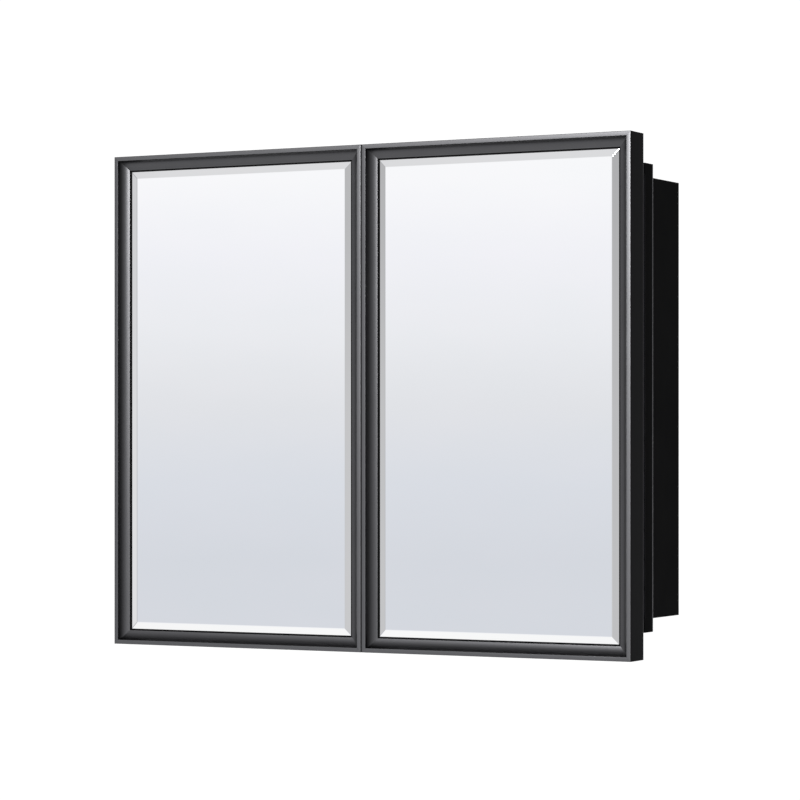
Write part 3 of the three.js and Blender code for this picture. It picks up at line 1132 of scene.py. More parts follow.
def sleeve_grid_tree() -> NodeShape:
    """Flanged sleeves in the shelf-pin holes: short columns, repeated up and across a side panel.

    Returns:
        The tree that makes the sleeves.
    """
    shape = NodeShape(
        "pin_hole_sleeves",
        {
            "Corner": (VECTOR, (0.0, 0.0, 0.0)),
            "Pitch": (VECTOR, (0.0, 0.0, 0.032)),
            "Shelf Step": (VECTOR, (0.0, 0.0, 0.18)),
            "Row Step": (VECTOR, (0.0, -0.048, 0.0)),
            "Bore Radius": (FLOAT, 0.00245),
            "Flange Width": (FLOAT, 0.0012),
            "Flange Height": (FLOAT, 0.00025),
            "Finish": (FINISH, None),
        },
    )
    given = shape.given
    middle = {0: given["Flange Width"], 1: 0.5, 2: given["Bore Radius"]}
    radius = shape.node("ShaderNodeMath", {"operation": "MULTIPLY_ADD"}, middle).outputs[0]
    round_path = {"Resolution": ROUND_SEGMENTS, "Radius": radius}
    path = shape.node("GeometryNodeCurvePrimitiveCircle", inputs=round_path)
    section = shape.node(
        "GeometryNodeCurvePrimitiveQuadrilateral",
        inputs={"Width": given["Flange Width"], "Height": given["Flange Height"]},
    )
    swept = {"Curve": path.outputs["Curve"], "Profile Curve": section.outputs[0]}
    flange = shape.node("GeometryNodeCurveToMesh", inputs=swept)
    sleeve = shape.node(
        "GeometryNodeTransform", inputs={"Geometry": flange.outputs[0], "Rotation": (0.0, math.pi / 2, 0.0)}
    )
    geometry = sleeve.outputs[0]
    for count, step, start in ((3, "Pitch", None), (2, "Shelf Step", None), (2, "Row Step", "Corner")):
        inputs: dict = {"Count": count, "Offset": given[step]}
        if start:
            inputs["Start Location"] = given[start]
        line = shape.node("GeometryNodeMeshLine", {"mode": "OFFSET"}, inputs)
        spots = {"Points": line.outputs[0], "Instance": geometry}
        row = shape.node("GeometryNodeInstanceOnPoints", inputs=spots)
        geometry = row.outputs[0]
    shape.end(geometry)
    return shape


# ---------------------------------------------------------------- making and riding a piece


def finish_piece(
    piece: bpy.types.Object, use: Use, body: str, replaced: Sequence[str] = ()
) -> bpy.types.Object:
    """Dress a piece, hide the CAD nodes it stands for and hang it on its body.

    Args:
        piece: the finished mesh object.
        use: its finish.
        body: the CAD body that it moves with.
        replaced: CAD nodes that it stands for.

    Returns:
        The piece.
    """
    if not piece.data.materials:
        piece.data.materials.append(use.value.material())
    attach(piece, body)
    if replaced:
        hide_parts(*replaced)
    log.info("%s rides on %s, %d faces", piece.name, body, len(piece.data.polygons))
    return piece


def dress_node(node: str, use: Use) -> None:
    """Give a carried-over CAD node its finish.

    Args:
        node: the CAD node.
        use: its finish.
    """
    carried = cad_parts[node]
    carried.data.materials.clear()
    carried.data.materials.append(use.value.material())
    log.info("%s keeps its solid, in %s", node, use.value.label)


# ---------------------------------------------------------------- doors


@dataclass(frozen=True)
class MouldingSection:
    """Section of the door moulding in millimetres: u inwards from the outer edge, v back from the front."""

    lip: float = 5.6
    sight: float = 18.4
    sight_front: float = 10.1
    sight_back: float = 11.7
    cove_turn: float = math.radians(65.0)  # the part of an ellipse that the scoop takes
    depth: float = 43.0
    wall: float = 2.5
    outer_wall: float = 3.0
    flange: float = 14.0
    flange_thickness: float = 3.0
    back_chamfer: Point2 = (5.0, 1.8)
    rear_highlight_reach: float = 3.0  # how far the painted highlight on the rear edge reaches along the side
    leg_inner: Point2 = (11.4, 18.4)  # foot of the leg that holds the mirror, inside the hollow
    leg_wall: float = 2.0
    outer_arris: float = 0.55
    sight_arris: float = 0.4
    small_arris: float = 0.3
    rear_arris: float = 2.2
    cove_start: float = 0.03
    cove_steps: int = 28
    inner_cove_steps: int = 6
    rear_highlight: float = 2.0  # painted highlight on the rear outer edge; large enough that it reaches the full pale colour
    arris_wear: float = 0.2

    def cove(self, offset: float, start: float, end: float, steps: int) -> list[tuple]:
        """Lay out the scoop, part of an ellipse, or its inner side.

        Args:
            offset: distance inwards from the scoop's face.
            start: the ellipse's angle where it begins.
            end: the angle where it ends.
            steps: segments.

        Returns:
            Points as corners of no radius.
        """
        a, b = self.radii()
        turns = [start + (end - start) * i / steps for i in range(steps + 1)]
        centre = self.lip + a
        return [(centre - (a + offset) * math.cos(t), (b + offset) * math.sin(t), 0.0) for t in turns]

    def radii(self) -> Point2:
        """Half axes of the scoop's ellipse, across and deep."""
        across = (self.sight - self.lip) / (1 - math.cos(self.cove_turn))
        return across, self.sight_front / math.sin(self.cove_turn)

    def outline(self) -> list[tuple]:
        """Lay out the closed outline with its rounded arrises.

        Returns:
            Points as (u, v, wear), the wear including the painted highlight on the rear outer edge.
        """
        leg_u, leg_v = self.leg_inner
        a, b = self.radii()
        leg_turn = math.acos((self.lip + a - leg_u) / (a + self.wall))
        lip_turn = math.asin(self.wall / (b + self.wall))
        scoop = self.cove(0, self.cove_start, self.cove_turn, self.cove_steps)
        rear = self.depth - self.back_chamfer[1]
        corners = [
            (0, 0, self.outer_arris),
            (self.lip, 0, self.small_arris),
            *scoop[:-1],
            (self.sight, self.sight_front, self.sight_arris),
            (self.sight, self.sight_back, 0),
            (leg_u + self.leg_wall, self.sight_back, 0),
            (leg_u + self.leg_wall, leg_v, 0),
            (leg_u, leg_v, 0),
            *self.cove(self.wall, leg_turn, lip_turn, self.inner_cove_steps),
            (self.outer_wall, self.wall, 0),
            (self.outer_wall, self.depth - self.flange_thickness, 0),
            (self.flange, self.depth - self.flange_thickness, self.small_arris),
            (self.flange, self.depth, self.small_arris),
            (self.back_chamfer[0], self.depth, self.small_arris),
            (0, rear, self.rear_arris),
            (0, rear - self.rear_highlight_reach, 0),
        ]
        worn_and_lit = []
        for u, v, on in rounded_outline(corners):
            # the rear outer edge takes a painted highlight; the other roundings take light arris wear
            at_rear = u < self.rear_highlight_reach and v > rear - self.rear_highlight_reach
            worn_and_lit.append((u, v, self.rear_highlight if at_rear else self.arris_wear * on))
        return worn_and_lit


@dataclass(frozen=True)
class DoorPlace:
    """Where a door is: its name, its side (-1 left, 1 right), and its outline taken from the frame."""

    name: str
    side: int

    def corners(self) -> tuple[Vector, Vector]:
        """Find the outline of the door's mouldings.

        Returns:
            Its lowest and highest corner, in millimetres.
        """
        boxes = [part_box(f"{self.name}_{edge}_moulding") for edge in ("left", "top", "right", "bottom")]
        low = Vector([min(b[0][i] for b in boxes) for i in range(3)]) / MM
        high = Vector([max(b[1][i] for b in boxes) for i in range(3)]) / MM
        return low, high


@dataclass
class DoorFrame:
    """Four mitred lengths of moulding, and a black bead behind their sight edge that stands in for the
    shadow in the gap there.
    """

    place: DoorPlace
    section: MouldingSection = MouldingSection()
    mitre_gap: float = 0.05
    shade_bead_width: float = 2.0
    shade_bead_tuck: float = 1.2  # how far it runs under the moulding
    shade_bead_front: float = 10.35
    shade_bead_squeeze: float = 0.15  # how far the mirror presses into it
    rail_highlight: float = 0.15  # share of the painted rear-edge highlight on the top and bottom bars; the uprights carry it in full

    def bar(self, edge: str, turn: int, corner: Vector, length: float) -> bpy.types.Object:
        """Make one length of moulding.

        Args:
            edge: which edge of the door it is on.
            turn: quarter turns about the vertical plane's normal from the left edge.
            corner: the door's corner that it starts from, in millimetres.
            length: outer length in millimetres.

        Returns:
            The bar, with its profile UV map, edge wear and painted rear-edge highlight.
        """
        outline = self.section.outline()
        spin = Matrix.Rotation(turn * math.pi / 2, 3, "Y")
        points = []
        for far in (False, True):
            for u, v, _ in outline:
                s = length - u - self.mitre_gap if far else u + self.mitre_gap
                points.append(spin @ Vector((u, v, s)) + corner)
        bar = solid(f"{self.place.name}_{edge}_frame_bar", points, prism_faces(len(outline)))
        # the uprights carry the full painted rear-edge highlight, the top and bottom bars a share of it
        self.write_profile(bar, outline, length, 1.0 if turn % 2 == 0 else self.rail_highlight)
        return smooth(bar, 25.0)

    def write_profile(
        self, bar: bpy.types.Object, outline: Sequence[tuple], length: float, highlight_share: float
    ) -> None:
        """Give a bar the UV map, and the wear and painted highlight that its finish reads.

        Args:
            bar: the bar.
            outline: its section, with the wear of each point, the painted highlight included.
            length: its outer length in millimetres.
            highlight_share: how much of the rear edge's painted highlight it has.
        """
        count = len(outline)
        walk = [0.0]
        for (a, b, _), (c, d, _) in zip(outline, outline[1:]):
            walk.append(walk[-1] + math.hypot(c - a, d - b))
        write_wear_and_highlight(bar, [worn_and_lit * highlight_share if worn_and_lit > 1 else worn_and_lit for _, _, worn_and_lit in outline] * 2)
        uv = bar.data.uv_layers.new(name=PROFILE_UV)
        for loop in bar.data.loops:
            along = length if loop.vertex_index >= count else 0.0
            uv.data[loop.index].uv = (walk[loop.vertex_index % count] * MM, along * MM)

    def shade_bead_ring(self, low: Vector, high: Vector) -> bpy.types.Object:
        """Make the black bead between the sight edge and the mirror, a dark piece that stands in for the
        shadow in that gap.

        Args:
            low: lowest corner of the door, in millimetres.
            high: its highest corner.

        Returns:
            The bead, one closed ring.
        """
        hidden = self.section.sight - self.shade_bead_tuck
        shown = self.section.sight + self.shade_bead_width
        front, seat = self.shade_bead_front, self.section.sight_back + self.shade_bead_squeeze
        bead = [
            (hidden, seat - 0.1, 0),
            (hidden, seat, 0),
            (shown, seat, 0.1),
            (shown - 0.1, front + 0.2, 0.3),
            (hidden + self.shade_bead_tuck + 0.05, front, 0),
        ]
        profile = rounded_outline(bead, 3)
        left, right = (low.x, 1), (high.x, -1)
        bottom, top = (low.z, 1), (high.z, -1)
        corners = [(*x, *z) for x, z in ((left, bottom), (left, top), (right, top), (right, bottom))]
        count = len(profile)
        points = [(x + dx * u, low.y + v, z + dz * u) for x, dx, z, dz in corners for u, v, _ in profile]
        faces = []
        for k in range(4):
            a, b = k * count, ((k + 1) % 4) * count
            faces += [[a + i, a + (i + 1) % count, b + (i + 1) % count, b + i] for i in range(count)]
        return smooth(solid(f"{self.place.name}_glazing_gasket", points, faces), 40.0)

    def build(self) -> None:
        """Make and hang the four bars and the black bead that stands in for the sight-edge shadow."""
        low, high = self.place.corners()
        width, height = high.x - low.x, high.z - low.z
        edges = (
            ("left", Vector((low.x, low.y, low.z)), height),
            ("top", Vector((low.x, low.y, high.z)), width),
            ("right", Vector((high.x, low.y, high.z)), height),
            ("bottom", Vector((high.x, low.y, low.z)), width),
        )
        for turn, (edge, corner, length) in enumerate(edges):
            node = f"{self.place.name}_{edge}_moulding"
            finish_piece(self.bar(edge, turn, corner, length), Use.FRAME, self.place.name, [node])
        finish_piece(self.shade_bead_ring(low, high), Use.SHADE_BEAD, self.place.name)


@dataclass
class DoorGlass:
    """The bevelled mirror on the front and the plain mirror that closes the back of a door."""

    place: DoorPlace
    shape: NodeShape
    bevel_width: float = 16.0
    bevel_drop: float = 2.0
    ridge: float = 0.7  # polishing rounds the bevel's ridge this far each way
    ridge_deg: float = 3.0  # the bevel turns more than this, so that its ridge is rounded too
    back_arris: float = 0.4

    def build(self) -> None:
        """Make and hang both sheets, and dress the hidden backing board and corner keys."""
        name = self.place.name
        low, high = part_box(f"{name}_bevelled_mirror")
        drop = self.bevel_drop * MM
        centre = (low + high) / 2
        centre.y = (low.y + drop + high.y) / 2
        front = self.shape.make(
            f"{name}_bevelled_glass",
            Use.MIRROR,
            {
                "Width": high.x - low.x,
                "Height": high.z - low.z,
                "Edge Thickness": high.y - low.y - drop,
                "Bevel Width": self.bevel_width * MM,
                "Bevel Drop": drop,
                "Centre": tuple(centre),
            },
        )
        ease(front, self.ridge, 4, from_deg=self.ridge_deg)
        finish_piece(front, Use.MIRROR, name, [f"{name}_bevelled_mirror"])
        back = eased_block(f"{name}_inner_mirror", f"{name}_inner_glass", self.back_arris, 2)
        finish_piece(back, Use.INNER_MIRROR, name, [f"{name}_inner_mirror"])
        dress_node(f"{name}_backing_board", Use.BOARD)
        for corner in ("lower_left", "upper_left", "upper_right", "lower_right"):
            dress_node(f"{name}_{corner}_corner_key", Use.KEY)


@dataclass
class DoorFittings:
    """Strike plate with its screw, and two rubber bumpers, on the back of a door."""

    place: DoorPlace
    screws: NodeShape
    dome_radius: float = 5.0
    dome_arris: float = 0.3
    rim_share: float = 0.35  # of the dome's height
    dome_steps: int = 8
    screw_lift: float = 0.02  # of the strike plate's screw, off the plate

    def build(self) -> None:
        """Make and hang the strike plate, its screw and the bumpers."""
        name = self.place.name
        node = f"{name}_strike_plate"
        plate = ease(merged_copy(node, f"{name}_strike"), 0.25, 2)
        finish_piece(plate, Use.NICKEL, name, [node])
        low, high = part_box(node)
        middle = (low + high) / 2
        head = self.screws.make(
            f"{name}_strike_screw",
            Use.NICKEL,
            {
                "Start": (middle.x, high.y + self.screw_lift * MM, middle.z),
                "Facing": (-math.pi / 2, 0.0, 0.0),
            },
        )
        finish_piece(head, Use.NICKEL, name)
        for height in ("upper", "lower"):
            self.bumper(f"{name}_{height}_bumper", height)

    def bumper(self, node: str, height: str) -> None:
        """Make and hang one bumper: a low dome on a short rim.

        Args:
            node: the CAD bumper.
            height: "upper" or "lower".
        """
        low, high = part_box(node)
        rise = (high.y - low.y) / MM
        r, arris = self.dome_radius, self.dome_arris
        rim = self.rim_share * rise
        turns = [math.pi / 2 * i / self.dome_steps for i in range(self.dome_steps)]
        arc = [(r * math.cos(t), rim + (rise - rim) * math.sin(t)) for t in turns]
        centre = ((low.x + high.x) / 2 / MM, low.y / MM, (low.z + high.z) / 2 / MM)
        profile = [(0, 0), (r - arris, 0), (r, arris), *arc, (0, rise)]
        dome = turned(f"{self.place.name}_{height}_rubber_dome", profile, "+Y", centre)
        finish_piece(dome, Use.BUMPER, self.place.name, [node])


# ---------------------------------------------------------------- hinges


@dataclass
class ContinuousHinge:
    """Full-length hinge of one door: two leaves of alternating knuckles on one pin, with its screws."""

    place: DoorPlace
    leaves: NodeShape
    screws: NodeShape
    knuckles: int = 15
    length: float = 560.0
    gap: float = 0.4
    outer: float = 2.2
    bore: float = 1.25
    strip_inner: float = 12.3  # strip's inner edge from the axis
    strip_outer: float = 2.5
    tab_reach: float = 1.5
    tab_overlap: float = 0.4  # how far a tab runs on into its strip
    tab_play: float = 1.4  # what a tab is shorter than the knuckles' pitch
    leaf_near: float = 0.15  # near and far face of a leaf, from the axis
    leaf_far: float = 1.05
    screw_count: int = 11
    screw_pitch: float = 51.0
    head_height: float = 0.3
    head_proud: float = 0.1
    pin_tip: float = 0.4  # length of the pin's coned ends
    pin_tip_share: float = 0.7  # radius of their small end, of the pin's

    def axis(self) -> Vector:
        """Find the hinge's axis from its CAD pin.

        Returns:
            The point on it at mid height, in millimetres.
        """
        side = "right" if self.place.side > 0 else "left"
        low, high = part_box(f"{side}_hinge_pin")
        return (low + high) / 2 / MM

    def leaf(self, node: str, name: str, body: str, first: int) -> None:
        """Make one leaf in the place of its CAD node.

        Args:
            node: the CAD leaf.
            name: name of the new piece.
            body: the body it is screwed to.
            first: number of its first knuckle from the bottom, 0 or 1.
        """
        axis = self.axis()
        side = self.place.side
        low, high = (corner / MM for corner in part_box(node))
        on_case = body == "case"
        near, far = self.leaf_near, self.leaf_far
        flat_y0, flat_y1 = (axis.y + near, axis.y + far) if on_case else (axis.y - far, axis.y - near)
        strip_y = (flat_y0 + flat_y1) / 2 - axis.y
        thickness = flat_y1 - flat_y0
        pitch = self.length / self.knuckles
        strip_x = -side * (self.strip_inner + self.strip_outer) / 2
        tab_x = -side * (self.strip_outer + self.tab_reach) / 2
        strip = (self.strip_inner - self.strip_outer, thickness, high.z - low.z)
        tab = (self.strip_outer - self.tab_reach + self.tab_overlap, thickness, pitch - self.tab_play)
        made = self.leaves.make(
            name,
            Use.HINGE,
            {
                "Axis": tuple(axis * MM),
                "First Z": (-self.length / 2 + (first + 0.5) * pitch) * MM,
                "Step": 2 * pitch * MM,
                "Count": (self.knuckles + 1 - first) // 2,
                "Knuckle Length": (pitch - self.gap) * MM,
                "Outer Radius": self.outer * MM,
                "Bore Radius": self.bore * MM,
                "Strip Size": tuple(side_mm * MM for side_mm in strip),
                "Strip Offset": (strip_x * MM, strip_y * MM, 0.0),
                "Tab Size": tuple(side_mm * MM for side_mm in tab),
                "Tab Offset": (tab_x * MM, strip_y * MM, 0.0),
            },
        )
        finish_piece(smooth(made, 30.0), Use.HINGE, body, [node])
        sunk = self.head_height / 2 - self.head_proud
        face = flat_y0 + sunk if on_case else flat_y1 - sunk
        self.leaf_screws(name, body, Vector((axis.x + strip_x, face, axis.z)))

    def leaf_screws(self, name: str, body: str, middle: Vector) -> None:
        """Make the row of screw heads on the open face of a leaf.

        Args:
            name: name of the leaf.
            body: the body that it is screwed to.
            middle: the middle of the row, in millimetres.
        """
        run = (self.screw_count - 1) * self.screw_pitch
        heads = self.screws.make(
            f"{name}_screws",
            Use.SCREW,
            {
                "Start": (middle.x * MM, middle.y * MM, (middle.z - run / 2) * MM),
                "Step": (0.0, 0.0, self.screw_pitch * MM),
                "Count": self.screw_count,
                "Facing": (math.pi / 2 if body == "case" else -math.pi / 2, 0.0, 0.0),
            },
        )
        finish_piece(heads, Use.SCREW, body)

    def build(self) -> None:
        """Make and hang both leaves, their screws and the pin."""
        side = "right" if self.place.side > 0 else "left"
        door = self.place.name
        self.leaf(f"case_{side}_hinge_leaf", f"{side}_hinge_case_leaf", "case", 0)
        self.leaf(f"{door}_hinge_leaf", f"{side}_hinge_door_leaf", door, 1)
        node = f"{side}_hinge_pin"
        low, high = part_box(node)
        r = (high.x - low.x) / 2 / MM
        small = self.pin_tip_share * r
        half = (high.z - low.z) / 2 / MM
        straight = half - self.pin_tip
        profile = [(0, -half), (small, -half), (r, -straight), (r, straight), (small, half), (0, half)]
        rod = turned(f"{side}_hinge_pin_rod", profile, "+Z", tuple(self.axis()), 24)
        finish_piece(rod, Use.HINGE, "case", [node])


# ---------------------------------------------------------------- case


@dataclass
class CaseBoards:
    """Lacquered boards of the box and the face frame, with the mirror and the rail at the back."""

    arris: float = 0.7
    hole_arris: float = 0.35
    mirror_arris: float = 0.4
    rear_round: float = 3.5  # of a stile's outer rear edge, which also carries the painted highlight
    rear_flat: float = 0.6  # between that rounding and the point that ends its painted highlight
    chamfer: Point2 = (3.1, 2.5)  # of a stile beside the hinge, across and back

    def build(self) -> None:
        """Make and hang every board."""
        plain = ("top_panel", "bottom_panel", "face_frame_top_rail", "face_frame_bottom_rail")
        for node in plain:
            finish_piece(eased_block(node, f"{node}_board", self.arris), Use.CASE, "case", [node])
        for node, side in (("face_frame_left_stile", -1), ("face_frame_right_stile", 1)):
            finish_piece(self.stile(node, side), Use.CASE, "case", [node])
        drilled = ("left_side_panel", "right_side_panel", "back_panel", "hanging_rail")
        for node in drilled:
            board = flat_faces(ease(merged_copy(node, f"{node}_board"), self.hole_arris, 2))
            finish_piece(board, Use.CASE, "case", [node])
        mirror = eased_block("back_mirror", "back_mirror_glass", self.mirror_arris, 2)
        finish_piece(mirror, Use.INNER_MIRROR, "case", ["back_mirror"])

    def stile(self, node: str, side: int) -> bpy.types.Object:
        """Make one stile, chamfered beside the hinge and well rounded at its outer rear edge, which carries
        a painted highlight.

        Args:
            node: the CAD stile.
            side: -1 left, 1 right.

        Returns:
            The stile.
        """
        low, high = (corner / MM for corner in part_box(node))
        inner, outer = (low.x, high.x) if side > 0 else (high.x, low.x)
        across, back = self.chamfer
        corners = [
            (inner, low.y, self.arris),
            (outer - side * across, low.y, self.arris),
            (outer, low.y + back, self.arris),
            (outer, high.y - self.rear_round - self.rear_flat, 0),
            (outer, high.y, self.rear_round),
            (inner, high.y, self.arris),
        ]
        outline = rounded_outline(corners)
        points = [(x, y, z) for z in (low.z, high.z) for x, y, _ in outline]
        stile = solid(f"{node}_board", points, prism_faces(len(outline)))
        reach = self.rear_round + 0.1
        # painted highlight: the outer rear rounding gets the pale lacquer colour, where a highlight falls on
        # that edge
        write_wear_and_highlight(stile, [float(abs(x - outer) < reach and high.y - y < reach) for x, y, _ in points])
        return smooth(stile, 25.0)


@dataclass
class Shelving:
    """Two glass shelves on nickel pins, and the sleeves of all their holes."""

    sleeves: NodeShape
    arris: float = 0.8
    pin_pitch: float = 32.0
    pin_depth: float = 7.5  # how deep a pin sits in its hole
    sleeve_proud: float = 0.12

    def shelf(self, height: str) -> None:
        """Make one glass shelf with green polished edges.

        Args:
            height: "upper" or "lower".
        """
        node = f"{height}_shelf"
        sheet = eased_block(node, f"{node}_glass", self.arris, 3)
        sheet.data.materials.append(Use.SHELF.value.material())
        sheet.data.materials.append(Use.SHELF_EDGE.value.material())
        for polygon in sheet.data.polygons:
            is_level = abs(polygon.normal.z) > 0.99
            polygon.material_index = 0 if is_level else 1
        finish_piece(sheet, Use.SHELF, "case", [node])

    def pin(self, node: str, side: int) -> None:
        """Make one turned shelf pin in the place of its CAD node: shank, collar and the peg under the shelf.

        Args:
            node: the CAD pin.
            side: -1 for a pin in the left panel, 1 in the right.
        """
        low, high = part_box(node)
        middle = (low + high) / 2 / MM
        depth = self.pin_depth
        wall = (high.x if side > 0 else low.x) / MM - side * depth
        shank = [(2.0, -depth), (2.35, 0.4 - depth), (2.35, 0.3)]
        collar = [(3.7, 0.3), (4.0, 0.55), (4.0, 1.5), (3.7, 1.8)]
        peg = [(2.5, 1.8), (2.5, 10.6), (2.1, 11.0)]
        profile = [(0, -depth), *shank, *collar, *peg, (0, 11.0)]
        axis = "-X" if side > 0 else "+X"
        turned_pin = turned(f"{node}_turned", profile, axis, (wall, middle.y, middle.z), 28)
        finish_piece(turned_pin, Use.NICKEL, "case", [node])

    def sleeve_grid(self, name: str, side: int) -> None:
        """Make the sleeves of one side panel, lined up on the pins' centres.

        Args:
            name: "left" or "right".
            side: -1 or 1.
        """
        low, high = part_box(f"lower_shelf_{name}_back_pin")
        centre = (low + high) / 2
        upper_low, upper_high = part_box(f"upper_shelf_{name}_back_pin")
        front_low, front_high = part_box(f"lower_shelf_{name}_front_pin")
        panel_low, panel_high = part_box(f"{name}_side_panel")
        face = panel_low.x if side > 0 else panel_high.x
        made = self.sleeves.make(
            f"{name}_pin_hole_sleeves",
            Use.NICKEL,
            {
                "Corner": (face - side * self.sleeve_proud * MM, centre.y, centre.z - self.pin_pitch * MM),
                "Pitch": (0.0, 0.0, self.pin_pitch * MM),
                "Shelf Step": (0.0, 0.0, (upper_low.z + upper_high.z) / 2 - centre.z),
                "Row Step": (0.0, (front_low.y + front_high.y) / 2 - centre.y, 0.0),
            },
        )
        finish_piece(smooth(made), Use.NICKEL, "case")

    def build(self) -> None:
        """Make and hang shelves, pins and sleeves."""
        for height in ("upper", "lower"):
            self.shelf(height)
            for name, side in (("left", -1), ("right", 1)):
                for row in ("back", "front"):
                    self.pin(f"{height}_shelf_{name}_{row}_pin", side)
        for name, side in (("left", -1), ("right", 1)):
            self.sleeve_grid(name, side)


@dataclass
class MagnetCatch:
    """Magnetic catch under the top panel: moulded housing, two pole plates at its nose, one screw."""

    side: int
    screws: NodeShape
    arris: float = 0.5
    plate: float = 1.2
    proud: float = 0.12  # of a pole plate, before the housing's nose
    plate_inset: float = 4.0  # of a pole plate, from the housing's side
    plate_run: float = 2.0  # how far a pole plate runs back into the housing
    plate_below: float = 1.6
    plate_above: float = 4.8
    screw_from_back: float = 12.0
    screw_from_foot: float = 2.6
    screw_head: float = 0.9

    def build(self) -> None:
        """Make and hang the housing, its pole plates and its screw."""
        name = "right" if self.side > 0 else "left"
        node = f"{name}_magnet_catch"
        housing = ease(merged_copy(node, f"{name}_catch_housing"), self.arris, 3)
        finish_piece(housing, Use.CATCH, "case", [node])
        low, high = (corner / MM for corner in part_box(node))
        points: list[Vector] = []
        faces: list[list[int]] = []
        for x in (low.x + self.plate_inset, high.x - self.plate_inset):
            bar, sides = box_points(
                Vector((x - self.plate / 2, low.y - self.proud, low.z + self.plate_below)),
                Vector((x + self.plate / 2, low.y + self.plate_run, high.z - self.plate_above)),
            )
            faces += [[i + len(points) for i in side] for side in sides]
            points += bar
        finish_piece(solid(f"{name}_catch_pole_plates", points, faces), Use.NICKEL, "case")
        start = ((low.x + high.x) / 2, high.y - self.screw_from_back, low.z + self.screw_from_foot)
        head = self.screws.make(
            f"{name}_catch_screw",
            Use.SCREW,
            {
                "Start": tuple(place * MM for place in start),
                "Facing": (math.pi, 0.0, 0.0),
                "Head Height": self.screw_head * MM,
            },
        )
        finish_piece(head, Use.SCREW, "case")


# ---------------------------------------------------------------- studio


@dataclass(frozen=True)
class SoftBox:
    """One soft box: where it hangs, seen from the doors' middle, its size in metres and its watts."""

    name: str
    bearing: float  # degrees to the left of straight ahead of the doors
    elevation: float  # degrees up from level
    distance: float
    size: Point2
    watts: float


